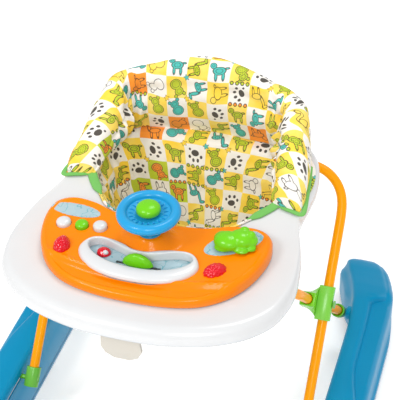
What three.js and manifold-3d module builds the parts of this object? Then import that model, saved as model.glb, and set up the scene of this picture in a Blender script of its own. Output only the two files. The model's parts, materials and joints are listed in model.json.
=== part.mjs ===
// Baby walker: a wheeled U-shaped base, a folding X-frame of two bent tubes, a toy tray and a fabric seat.
// Millimetres, +Z up, +Y towards the rear. The origin is on the floor, under the middle of the base.
import * as THREE from 'three';
import * as BufferGeometryUtils from 'three/addons/utils/BufferGeometryUtils.js';
import Module from 'manifold-3d';

const wasm = await Module();
wasm.setup();

// ---------------------------------------------------------------- driving dimensions
const GAP = 0.3; // space between touching pieces
const BASE_LENGTH = 640;
const BASE_HALF_WIDTH = 306;
const RAIL_INNER_X = 240;
const RAIL_TOP = 102;
const RAIL_BOTTOM = 14;
const RAIL_WALL = 3.5;
const RAIL_FRONT_Y = -262;
const BRIDGE_TOP = 97;

const TUBE_R = 8;
const TUBE_WALL = 1;
const LEG_HALF = 206; // from the scissor pivot to either end of a leg
const LEG_TILT = THREE.MathUtils.degToRad(42.8); // from the vertical
const LEG_BEND_R = 60;
const OUTER_LEG_X = 222;
const INNER_LEG_X = 198;
const INNER_FOOT_X = 218; // the inner legs splay out to the rails
const PIVOT_Y = 20;
const FOOT_Z = 85;
const FOLD_TILT = THREE.MathUtils.degToRad(71.8); // the legs' tilt when the walker is folded

const TRAY_Z = 396; // height of the tray's outer edge
const SHELL_TOP = 13; // tray heights from here on are above TRAY_Z
const SHELL_WALL = 3;
const PANEL_TOP = 32;
const PANEL_WALL = 2.5;
const MOUND_TOP = PANEL_TOP + 16; // the raised seat of the steering column
const COLUMN_Y = -136;
const WHEEL_RIM_R = 44.5;
const WHEEL_Z = 82;
const BEAN_X = -4;
const WINDOW_FLOOR_TOP = 23;

const SEAT_DEPTH = 221; // from the tray's edge down to the seat's lowest point
const SEAT_WALL = 5;

// worked out from them
const LEG_RUN = LEG_HALF * Math.sin(LEG_TILT);
const LEG_RISE = LEG_HALF * Math.cos(LEG_TILT);
const FOLDED_RUN = LEG_HALF * Math.sin(FOLD_TILT);
const PIVOT_Z = FOOT_Z + LEG_RISE;
const BAR_Z = PIVOT_Z + LEG_RISE - TRAY_Z; // both top bars, in the tray's own frame
const FRONT_FOOT_Y = PIVOT_Y - LEG_RUN;
const REAR_FOOT_Y = PIVOT_Y + LEG_RUN;
const SLIDE_TRAVEL = 2 * (FOLDED_RUN - LEG_RUN);

const COLOURS = {
  blue: 0x1e96c8, orangeTube: 0xff9f0a, orange: 0xff8c00, green: 0x78d21e, darkGreen: 0x69b414,
  white: 0xeeeeee, cream: 0xe6ded2, red: 0xe10019, paleBlue: 0xb9d3dd, steel: 0xb8bcc0,
  rubber: 0x2b2b2d, grey: 0x8d9296, cloth: 0xf6d24a,
};

// ---------------------------------------------------------------- solids
function toSolid(geometry) {
  const bare = geometry.index ? geometry.toNonIndexed() : geometry.clone();
  bare.deleteAttribute('normal');
  bare.deleteAttribute('uv');
  const merged = BufferGeometryUtils.mergeVertices(bare, 1e-4);
  return new wasm.Manifold(new wasm.Mesh({
    numProp: 3,
    vertProperties: new Float32Array(merged.attributes.position.array),
    triVerts: new Uint32Array(merged.index.array),
  }));
}

function toGeometry(solid) {
  const mesh = solid.getMesh();
  const geometry = new THREE.BufferGeometry();
  geometry.setAttribute('position', new THREE.BufferAttribute(new Float32Array(mesh.vertProperties), 3));
  geometry.setIndex(new THREE.BufferAttribute(new Uint32Array(mesh.triVerts), 1));
  return geometry;
}

function join(first, ...others) {
  return toGeometry(others.reduce((sum, other) => sum.add(toSolid(other)), toSolid(first)));
}

function cut(body, ...tools) {
  return toGeometry(tools.reduce((rest, tool) => rest.subtract(toSolid(tool)), toSolid(body)));
}

function box(x0, x1, y0, y1, z0, z1) {
  const geometry = new THREE.BoxGeometry(x1 - x0, y1 - y0, z1 - z0);
  return geometry.translate((x0 + x1) / 2, (y0 + y1) / 2, (z0 + z1) / 2);
}

// a cylinder between two points on a line along one axis
function rod(axis, start, end, radius, centre, sides = 12) {
  const geometry = new THREE.CylinderGeometry(radius, radius, end - start, sides);
  if (axis === 'x') geometry.rotateZ(-Math.PI / 2);
  if (axis === 'z') geometry.rotateX(Math.PI / 2);
  const middle = new THREE.Vector3(...centre);
  middle[axis] = (start + end) / 2;
  return geometry.translate(middle.x, middle.y, middle.z);
}

function ellipsoid(centre, rx, ry, rz, columns = 10, rows = 6) {
  return new THREE.SphereGeometry(1, columns, rows).scale(rx, ry, rz).translate(...centre);
}

// a lathe about +Z from points [radius, height]
function turned(points, sides = 20) {
  const profile = points.map(([radius, height]) => new THREE.Vector2(radius, height));
  return new THREE.LatheGeometry(profile, sides).rotateX(Math.PI / 2);
}

function smoothLoop(points, count) {
  const curve = new THREE.CatmullRomCurve3(points.map(([x, y]) => new THREE.Vector3(x, y, 0)), true);
  return curve.getSpacedPoints(count).slice(0, count).map((p) => new THREE.Vector2(p.x, p.y));
}

// half an outline, from the front to the rear on the +X side, and its mirror image
function mirrored(half) {
  const left = half.slice(1, -1).reverse().map(([x, y]) => [-x, y]);
  return [...half, ...left];
}

// a closed outline moved inwards, or outwards by a negative distance
function inset(outline, distance) {
  const area = THREE.ShapeUtils.area(outline);
  return outline.map((p, i) => {
    const before = outline[(i + outline.length - 1) % outline.length];
    const after = outline[(i + 1) % outline.length];
    const arriving = p.clone().sub(before).normalize();
    const leaving = after.clone().sub(p).normalize();
    const along = arriving.clone().add(leaving).normalize();
    const inward = new THREE.Vector2(-along.y, along.x).multiplyScalar(Math.sign(area));
    return p.clone().add(inward.multiplyScalar(distance / along.dot(leaving)));
  });
}

// an outline lifted from z0 to z1, with its upper edge rounded by `round`
function plate(outline, z0, z1, round = 0) {
  const levels = [[z0, 0], [z1 - round, 0]];
  const steps = round > 0 ? 3 : 0;
  for (let i = 1; i <= steps; i += 1) {
    const turn = (i / steps) * (Math.PI / 2);
    levels.push([z1 - round + round * Math.sin(turn), round * (1 - Math.cos(turn))]);
  }
  return loft(levels.map(([z, depth]) => inset(outline, depth).map((p) => new THREE.Vector3(p.x, p.y, z))));
}

// skins neighbouring rings of points; a loop of rings closes on itself, and other lofts get end caps
function loft(rings, isLoop = false) {
  const size = rings[0].length;
  const positions = rings.flat().flatMap((p) => [p.x, p.y, p.z]);
  const index = [];
  const last = isLoop ? rings.length : rings.length - 1;
  for (let i = 0; i < last; i += 1) {
    const next = (i + 1) % rings.length;
    for (let j = 0; j < size; j += 1) {
      const k = (j + 1) % size;
      const corners = [i * size + j, i * size + k, next * size + k, next * size + j];
      index.push(corners[0], corners[1], corners[2], corners[0], corners[2], corners[3]);
    }
  }
  if (!isLoop) {
    for (const [ring, flip] of [[0, true], [rings.length - 1, false]]) {
      const centre = positions.length / 3;
      const middle = rings[ring].reduce((sum, p) => sum.add(p), new THREE.Vector3()).divideScalar(size);
      positions.push(middle.x, middle.y, middle.z);
      for (let j = 0; j < size; j += 1) {
        const edge = [ring * size + j, ring * size + ((j + 1) % size)];
        if (flip) edge.reverse();
        index.push(edge[0], edge[1], centre);
      }
    }
  }
  const geometry = new THREE.BufferGeometry();
  geometry.setAttribute('position', new THREE.BufferAttribute(new Float32Array(positions), 3));
  geometry.setIndex(index);
  return isOutward(geometry) ? geometry : flipped(geometry);
}

function isOutward(geometry) {
  const { position } = geometry.attributes;
  const { array } = geometry.index;
  const [a, b, c] = [new THREE.Vector3(), new THREE.Vector3(), new THREE.Vector3()];
  let volume = 0;
  for (let i = 0; i < array.length; i += 3) {
    a.fromBufferAttribute(position, array[i]);
    b.fromBufferAttribute(position, array[i + 1]);
    c.fromBufferAttribute(position, array[i + 2]);
    volume += a.dot(b.cross(c));
  }
  return volume > 0;
}

function flipped(geometry) {
  const { array } = geometry.index;
  for (let i = 0; i < array.length; i += 3) {
    [array[i], array[i + 1]] = [array[i + 1], array[i]];
  }
  return geometry;
}

function ramp(value, low, high) {
  return THREE.MathUtils.smoothstep(value, low, high);
}

// ---------------------------------------------------------------- scene helpers
const walker = new THREE.Group();
const trayGroup = new THREE.Group();
trayGroup.position.set(0, PIVOT_Y, TRAY_Z);
const outerLegs = new THREE.Group(); // +Y runs up the legs, from the front feet to the rear bar
outerLegs.position.set(0, PIVOT_Y, PIVOT_Z);
outerLegs.rotation.x = Math.PI / 2 - LEG_TILT;
const innerLegs = new THREE.Group(); // +Y runs up the legs, from the rear feet to the front bar
innerLegs.position.set(0, PIVOT_Y, PIVOT_Z);
innerLegs.rotation.x = Math.PI / 2 + LEG_TILT;
walker.add(trayGroup, outerLegs, innerLegs);

function add(group, name, geometry, colour, roughness = 0.35, metalness = 0) {
  const material = new THREE.MeshStandardMaterial({ color: COLOURS[colour], roughness, metalness });
  const mesh = new THREE.Mesh(geometry, material);
  mesh.name = name;
  group.add(mesh);
}

const SIDES = [['left', -1], ['right', 1]];

// ---------------------------------------------------------------- base
const REAR_WHEEL = { y: 228, radius: 20, halfWidth: 8 };
const CASTER = { y: -205, radius: 17.5, halfWidth: 7, trail: 7, stemR: 5, plateZ: 46 };
const CASTER_X = (RAIL_INNER_X + BASE_HALF_WIDTH) / 2;
const PIN_R = 3.8;
const PIN_BORE_R = PIN_R + GAP;
const SLOT_HALF_HEIGHT = PIN_R + 0.5;

// [y, inner x, outer x, top z] along a rail, from its front end to its rounded rear end
const RAIL_STATIONS = [
  [RAIL_FRONT_Y, 240, 302, 98], [-200, 240, 302, 101], [-60, 240, 302, RAIL_TOP], [120, 240, 302, RAIL_TOP],
  [185, 235, 302, RAIL_TOP], [225, 226, 299, 95], [258, 216, 291, 87], [285, 207, 282, 81],
  [304, 203, 272, 75], [315, 210, 260, 68], [BASE_LENGTH / 2, 226, 250, 60],
];

function railRing([y, innerX, outerX, top], side, inset) {
  const x0 = innerX + inset;
  const x1 = outerX - inset;
  const width = x1 - x0;
  const z1 = top - inset;
  const stepped = 1 - ramp(y, 150, 240); // the outer shoulder fades out before the rear end
  const drop = 13 * stepped;
  const flange = 4 * stepped;
  const belly = 12 * (ramp(y, 180, 230) - ramp(y, 285, 315)); // the inner wall swells below the top edge
  const z0 = inset > 0 ? RAIL_BOTTOM - 10 : RAIL_BOTTOM;
  const outline = [
    [x0 - belly, z0], [x0 - belly, z1 - 30], [x0 - 0.4 * belly, z1 - 18], [x0, z1 - 8], [x0 + 2.5, z1 - 2.5],
    [x0 + 9, z1],
    [x0 + 0.52 * width, z1], [x0 + 0.6 * width, z1 - 0.25 * drop], [x0 + 0.68 * width, z1 - drop],
    [x1 - 9, z1 - drop - 1], [x1 - 3, z1 - drop - 6], [x1, z1 - drop - 16],
    [x1, 32], [x1 + flange, 27], [x1 + flange, z0],
  ];
  return outline.map(([x, z]) => new THREE.Vector3(side * x, y, z));
}

function rail(side) {
  const outer = loft(RAIL_STATIONS.map((station) => railRing(station, side, 0)));
  const inner = RAIL_STATIONS.slice(0, -1).map((station) => railRing(station, side, RAIL_WALL));
  const ends = [inner[0], inner[inner.length - 1]];
  ends[0].forEach((p) => { p.y += RAIL_WALL; });
  ends[1].forEach((p) => { p.y -= RAIL_WALL; });
  const slotFront = FRONT_FOOT_Y - SLIDE_TRAVEL - PIN_R - 1;
  const slotRear = FRONT_FOOT_Y + PIN_R + 1;
  const across = [side * (RAIL_INNER_X - 12), side * (RAIL_INNER_X + 9)].sort((a, b) => a - b);
  const lug = [side * (RAIL_INNER_X - 8.5), side * (RAIL_INNER_X + 2)].sort((a, b) => a - b);
  const axleSpan = [side * (BASE_HALF_WIDTH + 10), side * (RAIL_INNER_X - 32)].sort((a, b) => a - b);
  const hollow = cut(outer, loft(inner));
  const lugged = join(
    hollow,
    rod('x', ...lug, 11, [0, REAR_FOOT_Y, FOOT_Z]),
    rod('z', CASTER.plateZ, RAIL_TOP - 15, 11, [side * CASTER_X, CASTER.y, 0]),
  );
  return cut(
    lugged,
    box(...across, slotFront, slotRear, FOOT_Z - SLOT_HALF_HEIGHT, FOOT_Z + SLOT_HALF_HEIGHT),
    rod('x', ...across, PIN_BORE_R, [0, REAR_FOOT_Y, FOOT_Z]),
    rod('z', CASTER.plateZ - 1, 79, CASTER.stemR + GAP, [side * CASTER_X, CASTER.y, 0]),
    rod('x', ...axleSpan, 3 + GAP, [0, REAR_WHEEL.y, REAR_WHEEL.radius]),
  );
}

function bridgeOutline(inset) {
  const outerX = 303 - inset;
  const frontY = -BASE_LENGTH / 2 + inset;
  const rearY = RAIL_FRONT_Y - GAP - inset;
  const cornerX = 190;
  const corner = new THREE.EllipseCurve(cornerX, rearY, outerX - cornerX, rearY - frontY, -Math.PI / 2, 0);
  const right = corner.getPoints(inset > 0 ? 6 : 10);
  const left = [...right].reverse().map((p) => new THREE.Vector2(-p.x, p.y));
  return [...right, ...left];
}

function bridge() {
  const outer = plate(bridgeOutline(0), RAIL_BOTTOM, BRIDGE_TOP, 9);
  return cut(outer, plate(bridgeOutline(2 * RAIL_WALL), RAIL_BOTTOM - 5, BRIDGE_TOP - 2 * RAIL_WALL));
}

function brakeStrip(x, y, length) {
  const pad = box(x - 1.6, x + 1.6, y - length / 2, y + length / 2, 6, RAIL_BOTTOM - GAP);
  const foot = box(x - 4, x + 4, y - length / 2, y + length / 2, 5, 8);
  return join(pad, foot);
}

function casterFork(side) {
  const centre = [side * CASTER_X, CASTER.y, 0];
  const wheelY = CASTER.y + CASTER.trail;
  const top = CASTER.plateZ - GAP;
  const cheek = (sign) => {
    const near = side * CASTER_X + sign * (CASTER.halfWidth + 0.8);
    const far = side * CASTER_X + sign * (CASTER.halfWidth + 3.3);
    const [x0, x1] = [near, far].sort((a, b) => a - b);
    const blade = box(x0, x1, wheelY - 7, wheelY + 7, CASTER.radius, top - 1);
    return join(blade, rod('x', x0, x1, 7, [0, wheelY, CASTER.radius], 16));
  };
  const crown = rod('z', top - 5, top, 12, centre, 24);
  const stem = rod('z', top - 1, 78, CASTER.stemR, centre);
  const fork = join(crown, stem, cheek(-1), cheek(1));
  const bore = rod('x', side * CASTER_X - 20, side * CASTER_X + 20, 2 + GAP, [0, wheelY, CASTER.radius], 12);
  return cut(fork, bore);
}

function wheel(x, y, radius, halfWidth, bore) {
  const profile = [
    [bore, -halfWidth], [radius - 3, -halfWidth], [radius, -halfWidth + 2.5], [radius, halfWidth - 2.5],
    [radius - 3, halfWidth], [bore, halfWidth], [bore, -halfWidth],
  ];
  return turned(profile, 24).rotateY(Math.PI / 2).translate(x, y, radius);
}

function addBase() {
  for (const [name, side] of SIDES) {
    const x = side * CASTER_X;
    add(walker, `base_rail_${name}`, rail(side), 'blue', 0.3);
    add(walker, `brake_strip_${name}`, brakeStrip(side * (RAIL_INNER_X + 2), 0, 240), 'rubber', 0.8);
    add(walker, `caster_fork_${name}`, casterFork(side), 'grey', 0.5);
    const wheelY = CASTER.y + CASTER.trail;
    const reach = CASTER.halfWidth + 4.3;
    const axle = rod('x', x - reach, x + reach, 2, [0, wheelY, CASTER.radius], 12);
    add(walker, `caster_axle_${name}`, axle, 'steel', 0.3, 0.9);
    const casterWheel = wheel(x, wheelY, CASTER.radius, CASTER.halfWidth, 2 + GAP);
    add(walker, `caster_wheel_${name}`, casterWheel, 'rubber', 0.7);
    const rearX = side * 268;
    const axleEnds = [side * 230, side * 302.5].sort((a, b) => a - b);
    const rearAxle = rod('x', ...axleEnds, 3, [0, REAR_WHEEL.y, REAR_WHEEL.radius], 16);
    const rearWheel = wheel(rearX, REAR_WHEEL.y, REAR_WHEEL.radius, REAR_WHEEL.halfWidth, 3 + GAP);
    add(walker, `rear_axle_${name}`, rearAxle, 'steel', 0.3, 0.9);
    add(walker, `rear_wheel_${name}`, rearWheel, 'rubber', 0.7);
  }
  add(walker, 'base_front_bridge', bridge(), 'blue', 0.3);
}

// ---------------------------------------------------------------- folding X-frame
const RIVET_R = 3;
const TUBE_END = -LEG_HALF + 7;

const SPLAY_LOW = -168; // between these two heights a leg moves out from its pivot to its foot
const SPLAY_TOP = -62;

// a U-tube in the plane of its legs, from one foot over the top bar to the other
function legCurve(legX, footX, barHalf) {
  const path = new THREE.CurvePath();
  const point = (x, y) => new THREE.Vector3(x, y, 0);
  const middle = (SPLAY_LOW + SPLAY_TOP) / 2;
  const side = (sign, reverse) => {
    const bendTop = point(sign * barHalf, LEG_HALF);
    const reach = legX - barHalf;
    const bendLow = point(sign * legX, LEG_HALF - reach);
    const splayTop = point(sign * legX, SPLAY_TOP);
    const bendNear = point(sign * legX, LEG_HALF - 0.45 * reach);
    const bendFar = point(sign * (legX - 0.45 * reach), LEG_HALF);
    const pieces = [
      [point(sign * footX, TUBE_END), point(sign * footX, SPLAY_LOW)],
      [point(sign * footX, SPLAY_LOW), point(sign * footX, middle), point(sign * legX, middle), splayTop],
      [splayTop, bendLow],
      [bendLow, bendNear, bendFar, bendTop],
    ];
    const ordered = reverse ? pieces.reverse().map((piece) => [...piece].reverse()) : pieces;
    for (const piece of ordered) {
      path.add(piece.length === 2 ? new THREE.LineCurve3(...piece) : new THREE.CubicBezierCurve3(...piece));
    }
    return bendTop;
  };
  const start = side(-1, false);
  const end = point(barHalf, LEG_HALF);
  path.add(new THREE.LineCurve3(start, end));
  side(1, true);
  return path;
}

function ringPoints(radius, count) {
  return Array.from({ length: count }, (_, i) => {
    const turn = (2 * Math.PI * i) / count;
    return new THREE.Vector2(radius * Math.cos(turn), radius * Math.sin(turn));
  });
}

function legTube(legX, footX, barHalf) {
  const section = new THREE.Shape(ringPoints(TUBE_R, 10));
  section.holes.push(new THREE.Path(ringPoints(TUBE_R - TUBE_WALL, 7)));
  const tube = new THREE.ExtrudeGeometry(section, {
    steps: 46, extrudePath: legCurve(legX, footX, barHalf),
  });
  return cut(tube, rod('x', -legX - 20, legX + 20, RIVET_R + GAP, [0, 0, 0], 12));
}

function footCap(x) {
  const body = rod('y', -LEG_HALF - 13, -LEG_HALF + 19, 11.5, [x, 0, 0], 16);
  return cut(
    body,
    rod('y', TUBE_END - GAP, -LEG_HALF + 20, TUBE_R + GAP, [x, 0, 0], 16),
    rod('x', x - 20, x + 20, PIN_BORE_R, [0, -LEG_HALF, 0]),
  );
}

function footPin(side, x) {
  const ends = [side * (x - 10), side * (RAIL_INNER_X + 7)].sort((a, b) => a - b);
  const shaft = rod('x', ...ends, PIN_R, [0, -LEG_HALF, 0]);
  const head = [side * (RAIL_INNER_X + 6), side * (RAIL_INNER_X + 8.5)].sort((a, b) => a - b);
  return join(shaft, rod('x', ...head, 5.2, [0, -LEG_HALF, 0]));
}

const CLAMP_PLANE_X = (OUTER_LEG_X + INNER_LEG_X) / 2;

function outerClamp(side) {
  const x0 = CLAMP_PLANE_X + GAP / 2;
  const x1 = OUTER_LEG_X + 10.5;
  const half = 10;
  const outline = [
    [x0, -half], [x1 - 7, -half], [x1 - 2, -7], [x1, -3], [x1, 3], [x1 - 2, 7], [x1 - 7, half], [x0, half],
  ];
  const shape = new THREE.Shape(outline.map(([x, z]) => new THREE.Vector2(x, z)));
  const body = new THREE.ExtrudeGeometry(shape, { depth: 52, bevelEnabled: false });
  body.rotateX(-Math.PI / 2).translate(0, -26, 0);
  if (side < 0) body.rotateZ(Math.PI);
  return cut(
    body,
    rod('y', -30, 30, TUBE_R + GAP, [side * OUTER_LEG_X, 0, 0], 16),
    rod('x', -260, 260, RIVET_R + GAP, [0, 0, 0], 12),
  );
}

// a sleeve with a horn that flares towards the leg's upper end
function innerClamp(side) {
  const x0 = INNER_LEG_X - 10.5;
  const x1 = CLAMP_PLANE_X - GAP / 2;
  const upper = [[34, 10.5], [24, 12], [15, 17], [8, 23], [-4, 23], [-10, 13], [-26, 10.5]];
  const outline = [...upper, ...[...upper].reverse().map(([y, z]) => [y, -z])];
  const shape = new THREE.Shape(outline.map(([y, z]) => new THREE.Vector2(y, z)));
  const body = new THREE.ExtrudeGeometry(shape, { depth: x1 - x0, bevelEnabled: false });
  body.rotateY(Math.PI / 2).rotateX(Math.PI / 2).translate(side > 0 ? x0 : -x1, 0, 0);
  return cut(
    body,
    rod('y', -40, 40, TUBE_R + GAP, [side * INNER_LEG_X, 0, 0], 16),
    rod('x', -260, 260, RIVET_R + GAP, [0, 0, 0], 12),
  );
}

function pivotRivet(side) {
  const ends = [side * (INNER_LEG_X - 12.5), side * (OUTER_LEG_X + 13)].sort((a, b) => a - b);
  const heads = [
    [side * (INNER_LEG_X - 13.5), side * (INNER_LEG_X - 10.5 - GAP)],
    [side * (OUTER_LEG_X + 11.5 + GAP), side * (OUTER_LEG_X + 14.5)],
  ].map((span) => span.sort((a, b) => a - b));
  return join(
    rod('x', ...ends, RIVET_R, [0, 0, 0], 12),
    ...heads.map((span) => rod('x', ...span, 6, [0, 0, 0], 12)),
  );
}

const OUTER_BAR_HALF = OUTER_LEG_X - LEG_BEND_R;
const INNER_BAR_HALF = 100; // a wider bend, which clears the tray's lip as the frame folds

function addFrame() {
  add(outerLegs, 'outer_leg_tube', legTube(OUTER_LEG_X, OUTER_LEG_X, OUTER_BAR_HALF), 'orangeTube', 0.3);
  add(innerLegs, 'inner_leg_tube', legTube(INNER_LEG_X, INNER_FOOT_X, INNER_BAR_HALF), 'orangeTube', 0.3);
  for (const [name, side] of SIDES) {
    add(outerLegs, `front_foot_cap_${name}`, footCap(side * OUTER_LEG_X), 'darkGreen');
    add(outerLegs, `front_foot_pin_${name}`, footPin(side, OUTER_LEG_X), 'steel', 0.3, 0.9);
    add(outerLegs, `outer_clamp_${name}`, outerClamp(side), 'green');
    add(outerLegs, `pivot_rivet_${name}`, pivotRivet(side), 'steel', 0.3, 0.9);
    add(innerLegs, `rear_foot_cap_${name}`, footCap(side * INNER_FOOT_X), 'darkGreen');
    add(innerLegs, `rear_foot_pin_${name}`, footPin(side, INNER_FOOT_X), 'steel', 0.3, 0.9);
    add(innerLegs, `inner_clamp_${name}`, innerClamp(side), 'green');
  }
}

// ---------------------------------------------------------------- tray shell and seat ring
const RING_STATIONS = 56;
const TRAY_OUTER = mirrored([
  [0, -290], [50, -288], [90, -281], [130, -268], [166, -247], [194, -216], [206, -183], [210, -150],
  [207, -118], [201, -84], [188, -42], [183, -12], [187, 32], [189, 68], [184, 104], [168, 146], [134, 172],
  [72, 184], [0, 187],
]);
const OPENING = mirrored([
  [0, -74], [50, -73], [88, -62], [112, -36], [138, 0], [154, 36], [156, 72], [146, 102],
  [112, 118], [60, 123], [0, 124],
]);

// the shell's section at one station: points from the opening's edge out to the lip, then back inside
function shellRing(inner, outer) {
  const out = outer.clone().sub(inner);
  const width = out.length();
  out.divideScalar(width);
  const shallow = ramp(outer.y, 60, 96); // the rear bar passes under a shallower lip
  const low = (z) => THREE.MathUtils.lerp(z, 2.4 + 0.1 * z, shallow);
  const section = [
    [0, low(-6)], [0, 7], [2, 11.5], [6, SHELL_TOP], [width - 15, SHELL_TOP + 1], [width - 7, 11],
    [width - 2, 6], [width, low(-1)], [width - 1, low(-8)], [width - 2.2, low(-12)],
    [width - 4.8, low(-12)], [width - 4.2, low(-7)], [width - 3, low(-1)],
    [width - 5, 4.4], [width - 9, 8.2], [width - 15.5, SHELL_TOP + 1 - SHELL_WALL],
    [7, SHELL_TOP - SHELL_WALL], [4, 8.6], [3, 6], [3, low(-6)],
  ];
  return section.map(([distance, z]) => new THREE.Vector3(
    inner.x + out.x * distance, inner.y + out.y * distance, z,
  ));
}

function trayShell() {
  const outer = smoothLoop(TRAY_OUTER, RING_STATIONS);
  const inner = smoothLoop(OPENING, RING_STATIONS);
  return loft(outer.map((point, i) => shellRing(inner[i], point)), true);
}

// a block under the ring that the outer legs' rear bar turns in
function barClip(side) {
  const x = side * 92;
  const block = box(x - 9, x + 9, LEG_RUN - 12, LEG_RUN + 12, BAR_Z - 12, SHELL_TOP - SHELL_WALL - 1.8);
  return cut(block, rod('x', x - 12, x + 12, TUBE_R + 0.5, [0, LEG_RUN, BAR_Z], 16));
}

// a slotted plate under the tray that the inner legs' front bar slides along
function slideGuide(side) {
  const x = side * 84;
  const rear = -LEG_RUN + TUBE_R + 1;
  const front = -LEG_RUN - SLIDE_TRAVEL - TUBE_R - 1;
  const body = box(x - 2.5, x + 2.5, front - 6, rear + 6, BAR_Z - 14, SHELL_TOP - SHELL_WALL - 0.5);
  return cut(body, box(x - 5, x + 5, front, rear, BAR_Z - TUBE_R - 1, BAR_Z + TUBE_R + 1));
}

const LATCH = { y: -270, halfWidth: 26, hingeZ: -3, drop: 62, pinR: 2.5 };

function latchLever() {
  const w = LATCH.halfWidth;
  const low = LATCH.hingeZ - LATCH.drop;
  const outline = [
    [-w, LATCH.hingeZ + 4], [-w, low + 18], [-w + 5, low + 7], [-w + 16, low],
    [w - 16, low], [w - 5, low + 7], [w, low + 18], [w, LATCH.hingeZ + 4],
  ].map(([x, z]) => new THREE.Vector2(x, z));
  const blade = new THREE.ExtrudeGeometry(new THREE.Shape(outline), { depth: 5, bevelEnabled: false });
  blade.rotateX(Math.PI / 2).translate(0, LATCH.y + 2.5, 0);
  const barrel = rod('x', -w, w, 4.5, [0, LATCH.y, LATCH.hingeZ], 12);
  return cut(join(blade, barrel), rod('x', -w - 5, w + 5, LATCH.pinR + GAP, [0, LATCH.y, LATCH.hingeZ], 12));
}

function latchBracket() {
  const w = LATCH.halfWidth;
  const top = SHELL_TOP - SHELL_WALL - 0.5;
  const ear = (x0, x1) => box(x0, x1, LATCH.y - 5, LATCH.y + 5, LATCH.hingeZ - 5, top);
  const bridgePiece = box(-w - 4, w + 4, LATCH.y - 5, LATCH.y + 5, top - 4, top);
  const body = join(bridgePiece, ear(-w - 4, -w - 0.5), ear(w + 0.5, w + 4));
  return cut(body, rod('x', -w - 6, w + 6, LATCH.pinR + GAP, [0, LATCH.y, LATCH.hingeZ], 12));
}

function addTray() {
  add(trayGroup, 'tray_shell', trayShell(), 'white', 0.25);
  for (const [name, side] of SIDES) {
    add(trayGroup, `rear_bar_clip_${name}`, barClip(side), 'white', 0.4);
    add(trayGroup, `slide_guide_${name}`, slideGuide(side), 'white', 0.4);
  }
  add(trayGroup, 'latch_bracket', latchBracket(), 'white', 0.4);
  const w = LATCH.halfWidth + 3.8;
  add(trayGroup, 'latch_pin', rod('x', -w, w, LATCH.pinR, [0, LATCH.y, LATCH.hingeZ], 12), 'steel', 0.3, 0.9);
  add(trayGroup, 'latch_lever', latchLever(), 'cream', 0.45);
  const door = box(92, 152, -190, -140, SHELL_TOP - SHELL_WALL - 3, SHELL_TOP - SHELL_WALL - 0.5);
  add(trayGroup, 'battery_door', door, 'white', 0.4);
}

// ---------------------------------------------------------------- toy panel
const PANEL_BOTTOM = SHELL_TOP + 1.3;
const PANEL_OUTLINE = mirrored([
  [0, -243], [50, -240], [94, -229], [124, -209], [146, -181], [160, -146], [165, -112], [159, -86],
  [138, -74], [106, -77], [72, -88], [34, -93], [0, -94],
]);
const BEAN_OUTER = mirrored([
  [0, -222], [34, -219], [61, -209], [80, -193], [86, -175], [74, -156], [54, -151], [32, -156],
  [15, -164], [0, -166],
]);
const BEAN_INNER = mirrored([
  [0, -199], [30, -197], [54, -189], [70, -177], [74, -165], [64, -158], [48, -159], [28, -167],
  [12, -172], [0, -173],
]);
const BUTTONS = [['outer', -130, -135, 10.5], ['middle', -103, -134, 9.5], ['inner', -77, -130, 10]];
const BERRIES = [['left', -114, -180, 12, 13], ['right', 104, -175, 16, 11]];
const FROG = { x: 116, y: -119 };
const HILL = { x: BEAN_X + 2, y: -183, halfTravel: 28 };

function beanLoop(points) {
  return smoothLoop(points, 32).map((p) => new THREE.Vector2(p.x + BEAN_X, p.y));
}

function toyPanel() {
  const loop = smoothLoop(PANEL_OUTLINE, 44);
  const body = plate(loop, PANEL_BOTTOM, PANEL_TOP, 6);
  const hollow = plate(inset(loop, 4.5), PANEL_BOTTOM - 2, PANEL_TOP - PANEL_WALL, 4);
  const holes = [
    ...BUTTONS.map(([, x, y, radius]) => rod('z', 20, 40, radius + 0.5, [x, y, 0], 16)),
    ...BERRIES.map(([, x, y]) => rod('z', 20, 40, 6.5, [x, y, 0], 16)),
    rod('z', 20, 40, 8.5, [FROG.x, FROG.y, 0], 20),
    rod('z', 20, MOUND_TOP + 5, 10.5, [0, COLUMN_Y, 0], 20),
    plate(inset(beanLoop(BEAN_OUTER), 4), 15, 45),
  ];
  const mound = turned([
    [0, PANEL_TOP - 2], [26, PANEL_TOP - 2], [25, PANEL_TOP + 2], [22, PANEL_TOP + 8], [20, MOUND_TOP - 1.5],
    [18.5, MOUND_TOP], [0, MOUND_TOP],
  ]).translate(0, COLUMN_Y, 0);
  return cut(join(cut(body, hollow), mound), ...holes);
}

function windowBezel() {
  const ring = plate(beanLoop(BEAN_OUTER), PANEL_TOP + GAP, PANEL_TOP + 8, 4);
  const window = plate(beanLoop(BEAN_INNER), 0, 60);
  const skirt = plate(inset(beanLoop(BEAN_OUTER), 4.6), WINDOW_FLOOR_TOP + GAP, PANEL_TOP + 1);
  return cut(join(ring, skirt), window);
}

function windowFloor() {
  const floor = plate(inset(beanLoop(BEAN_OUTER), 4.6), WINDOW_FLOOR_TOP - 2, WINDOW_FLOOR_TOP);
  const reach = HILL.halfTravel + 4;
  return cut(floor, box(HILL.x - reach, HILL.x + reach, HILL.y - 2.5, HILL.y + 2.5, 15, 30));
}

function hill() {
  const dome = cut(
    ellipsoid([HILL.x, HILL.y, WINDOW_FLOOR_TOP + GAP], 20, 7.5, 13, 14, 8),
    box(-200, 200, -400, 0, -10, WINDOW_FLOOR_TOP + GAP),
  );
  const stem = rod('z', WINDOW_FLOOR_TOP - 5, WINDOW_FLOOR_TOP + 3, 2, [HILL.x, HILL.y, 0], 12);
  const foot = rod('z', WINDOW_FLOOR_TOP - 6, WINDOW_FLOOR_TOP - 2.5, 4, [HILL.x, HILL.y, 0], 12);
  return join(dome, stem, foot);
}

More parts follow.
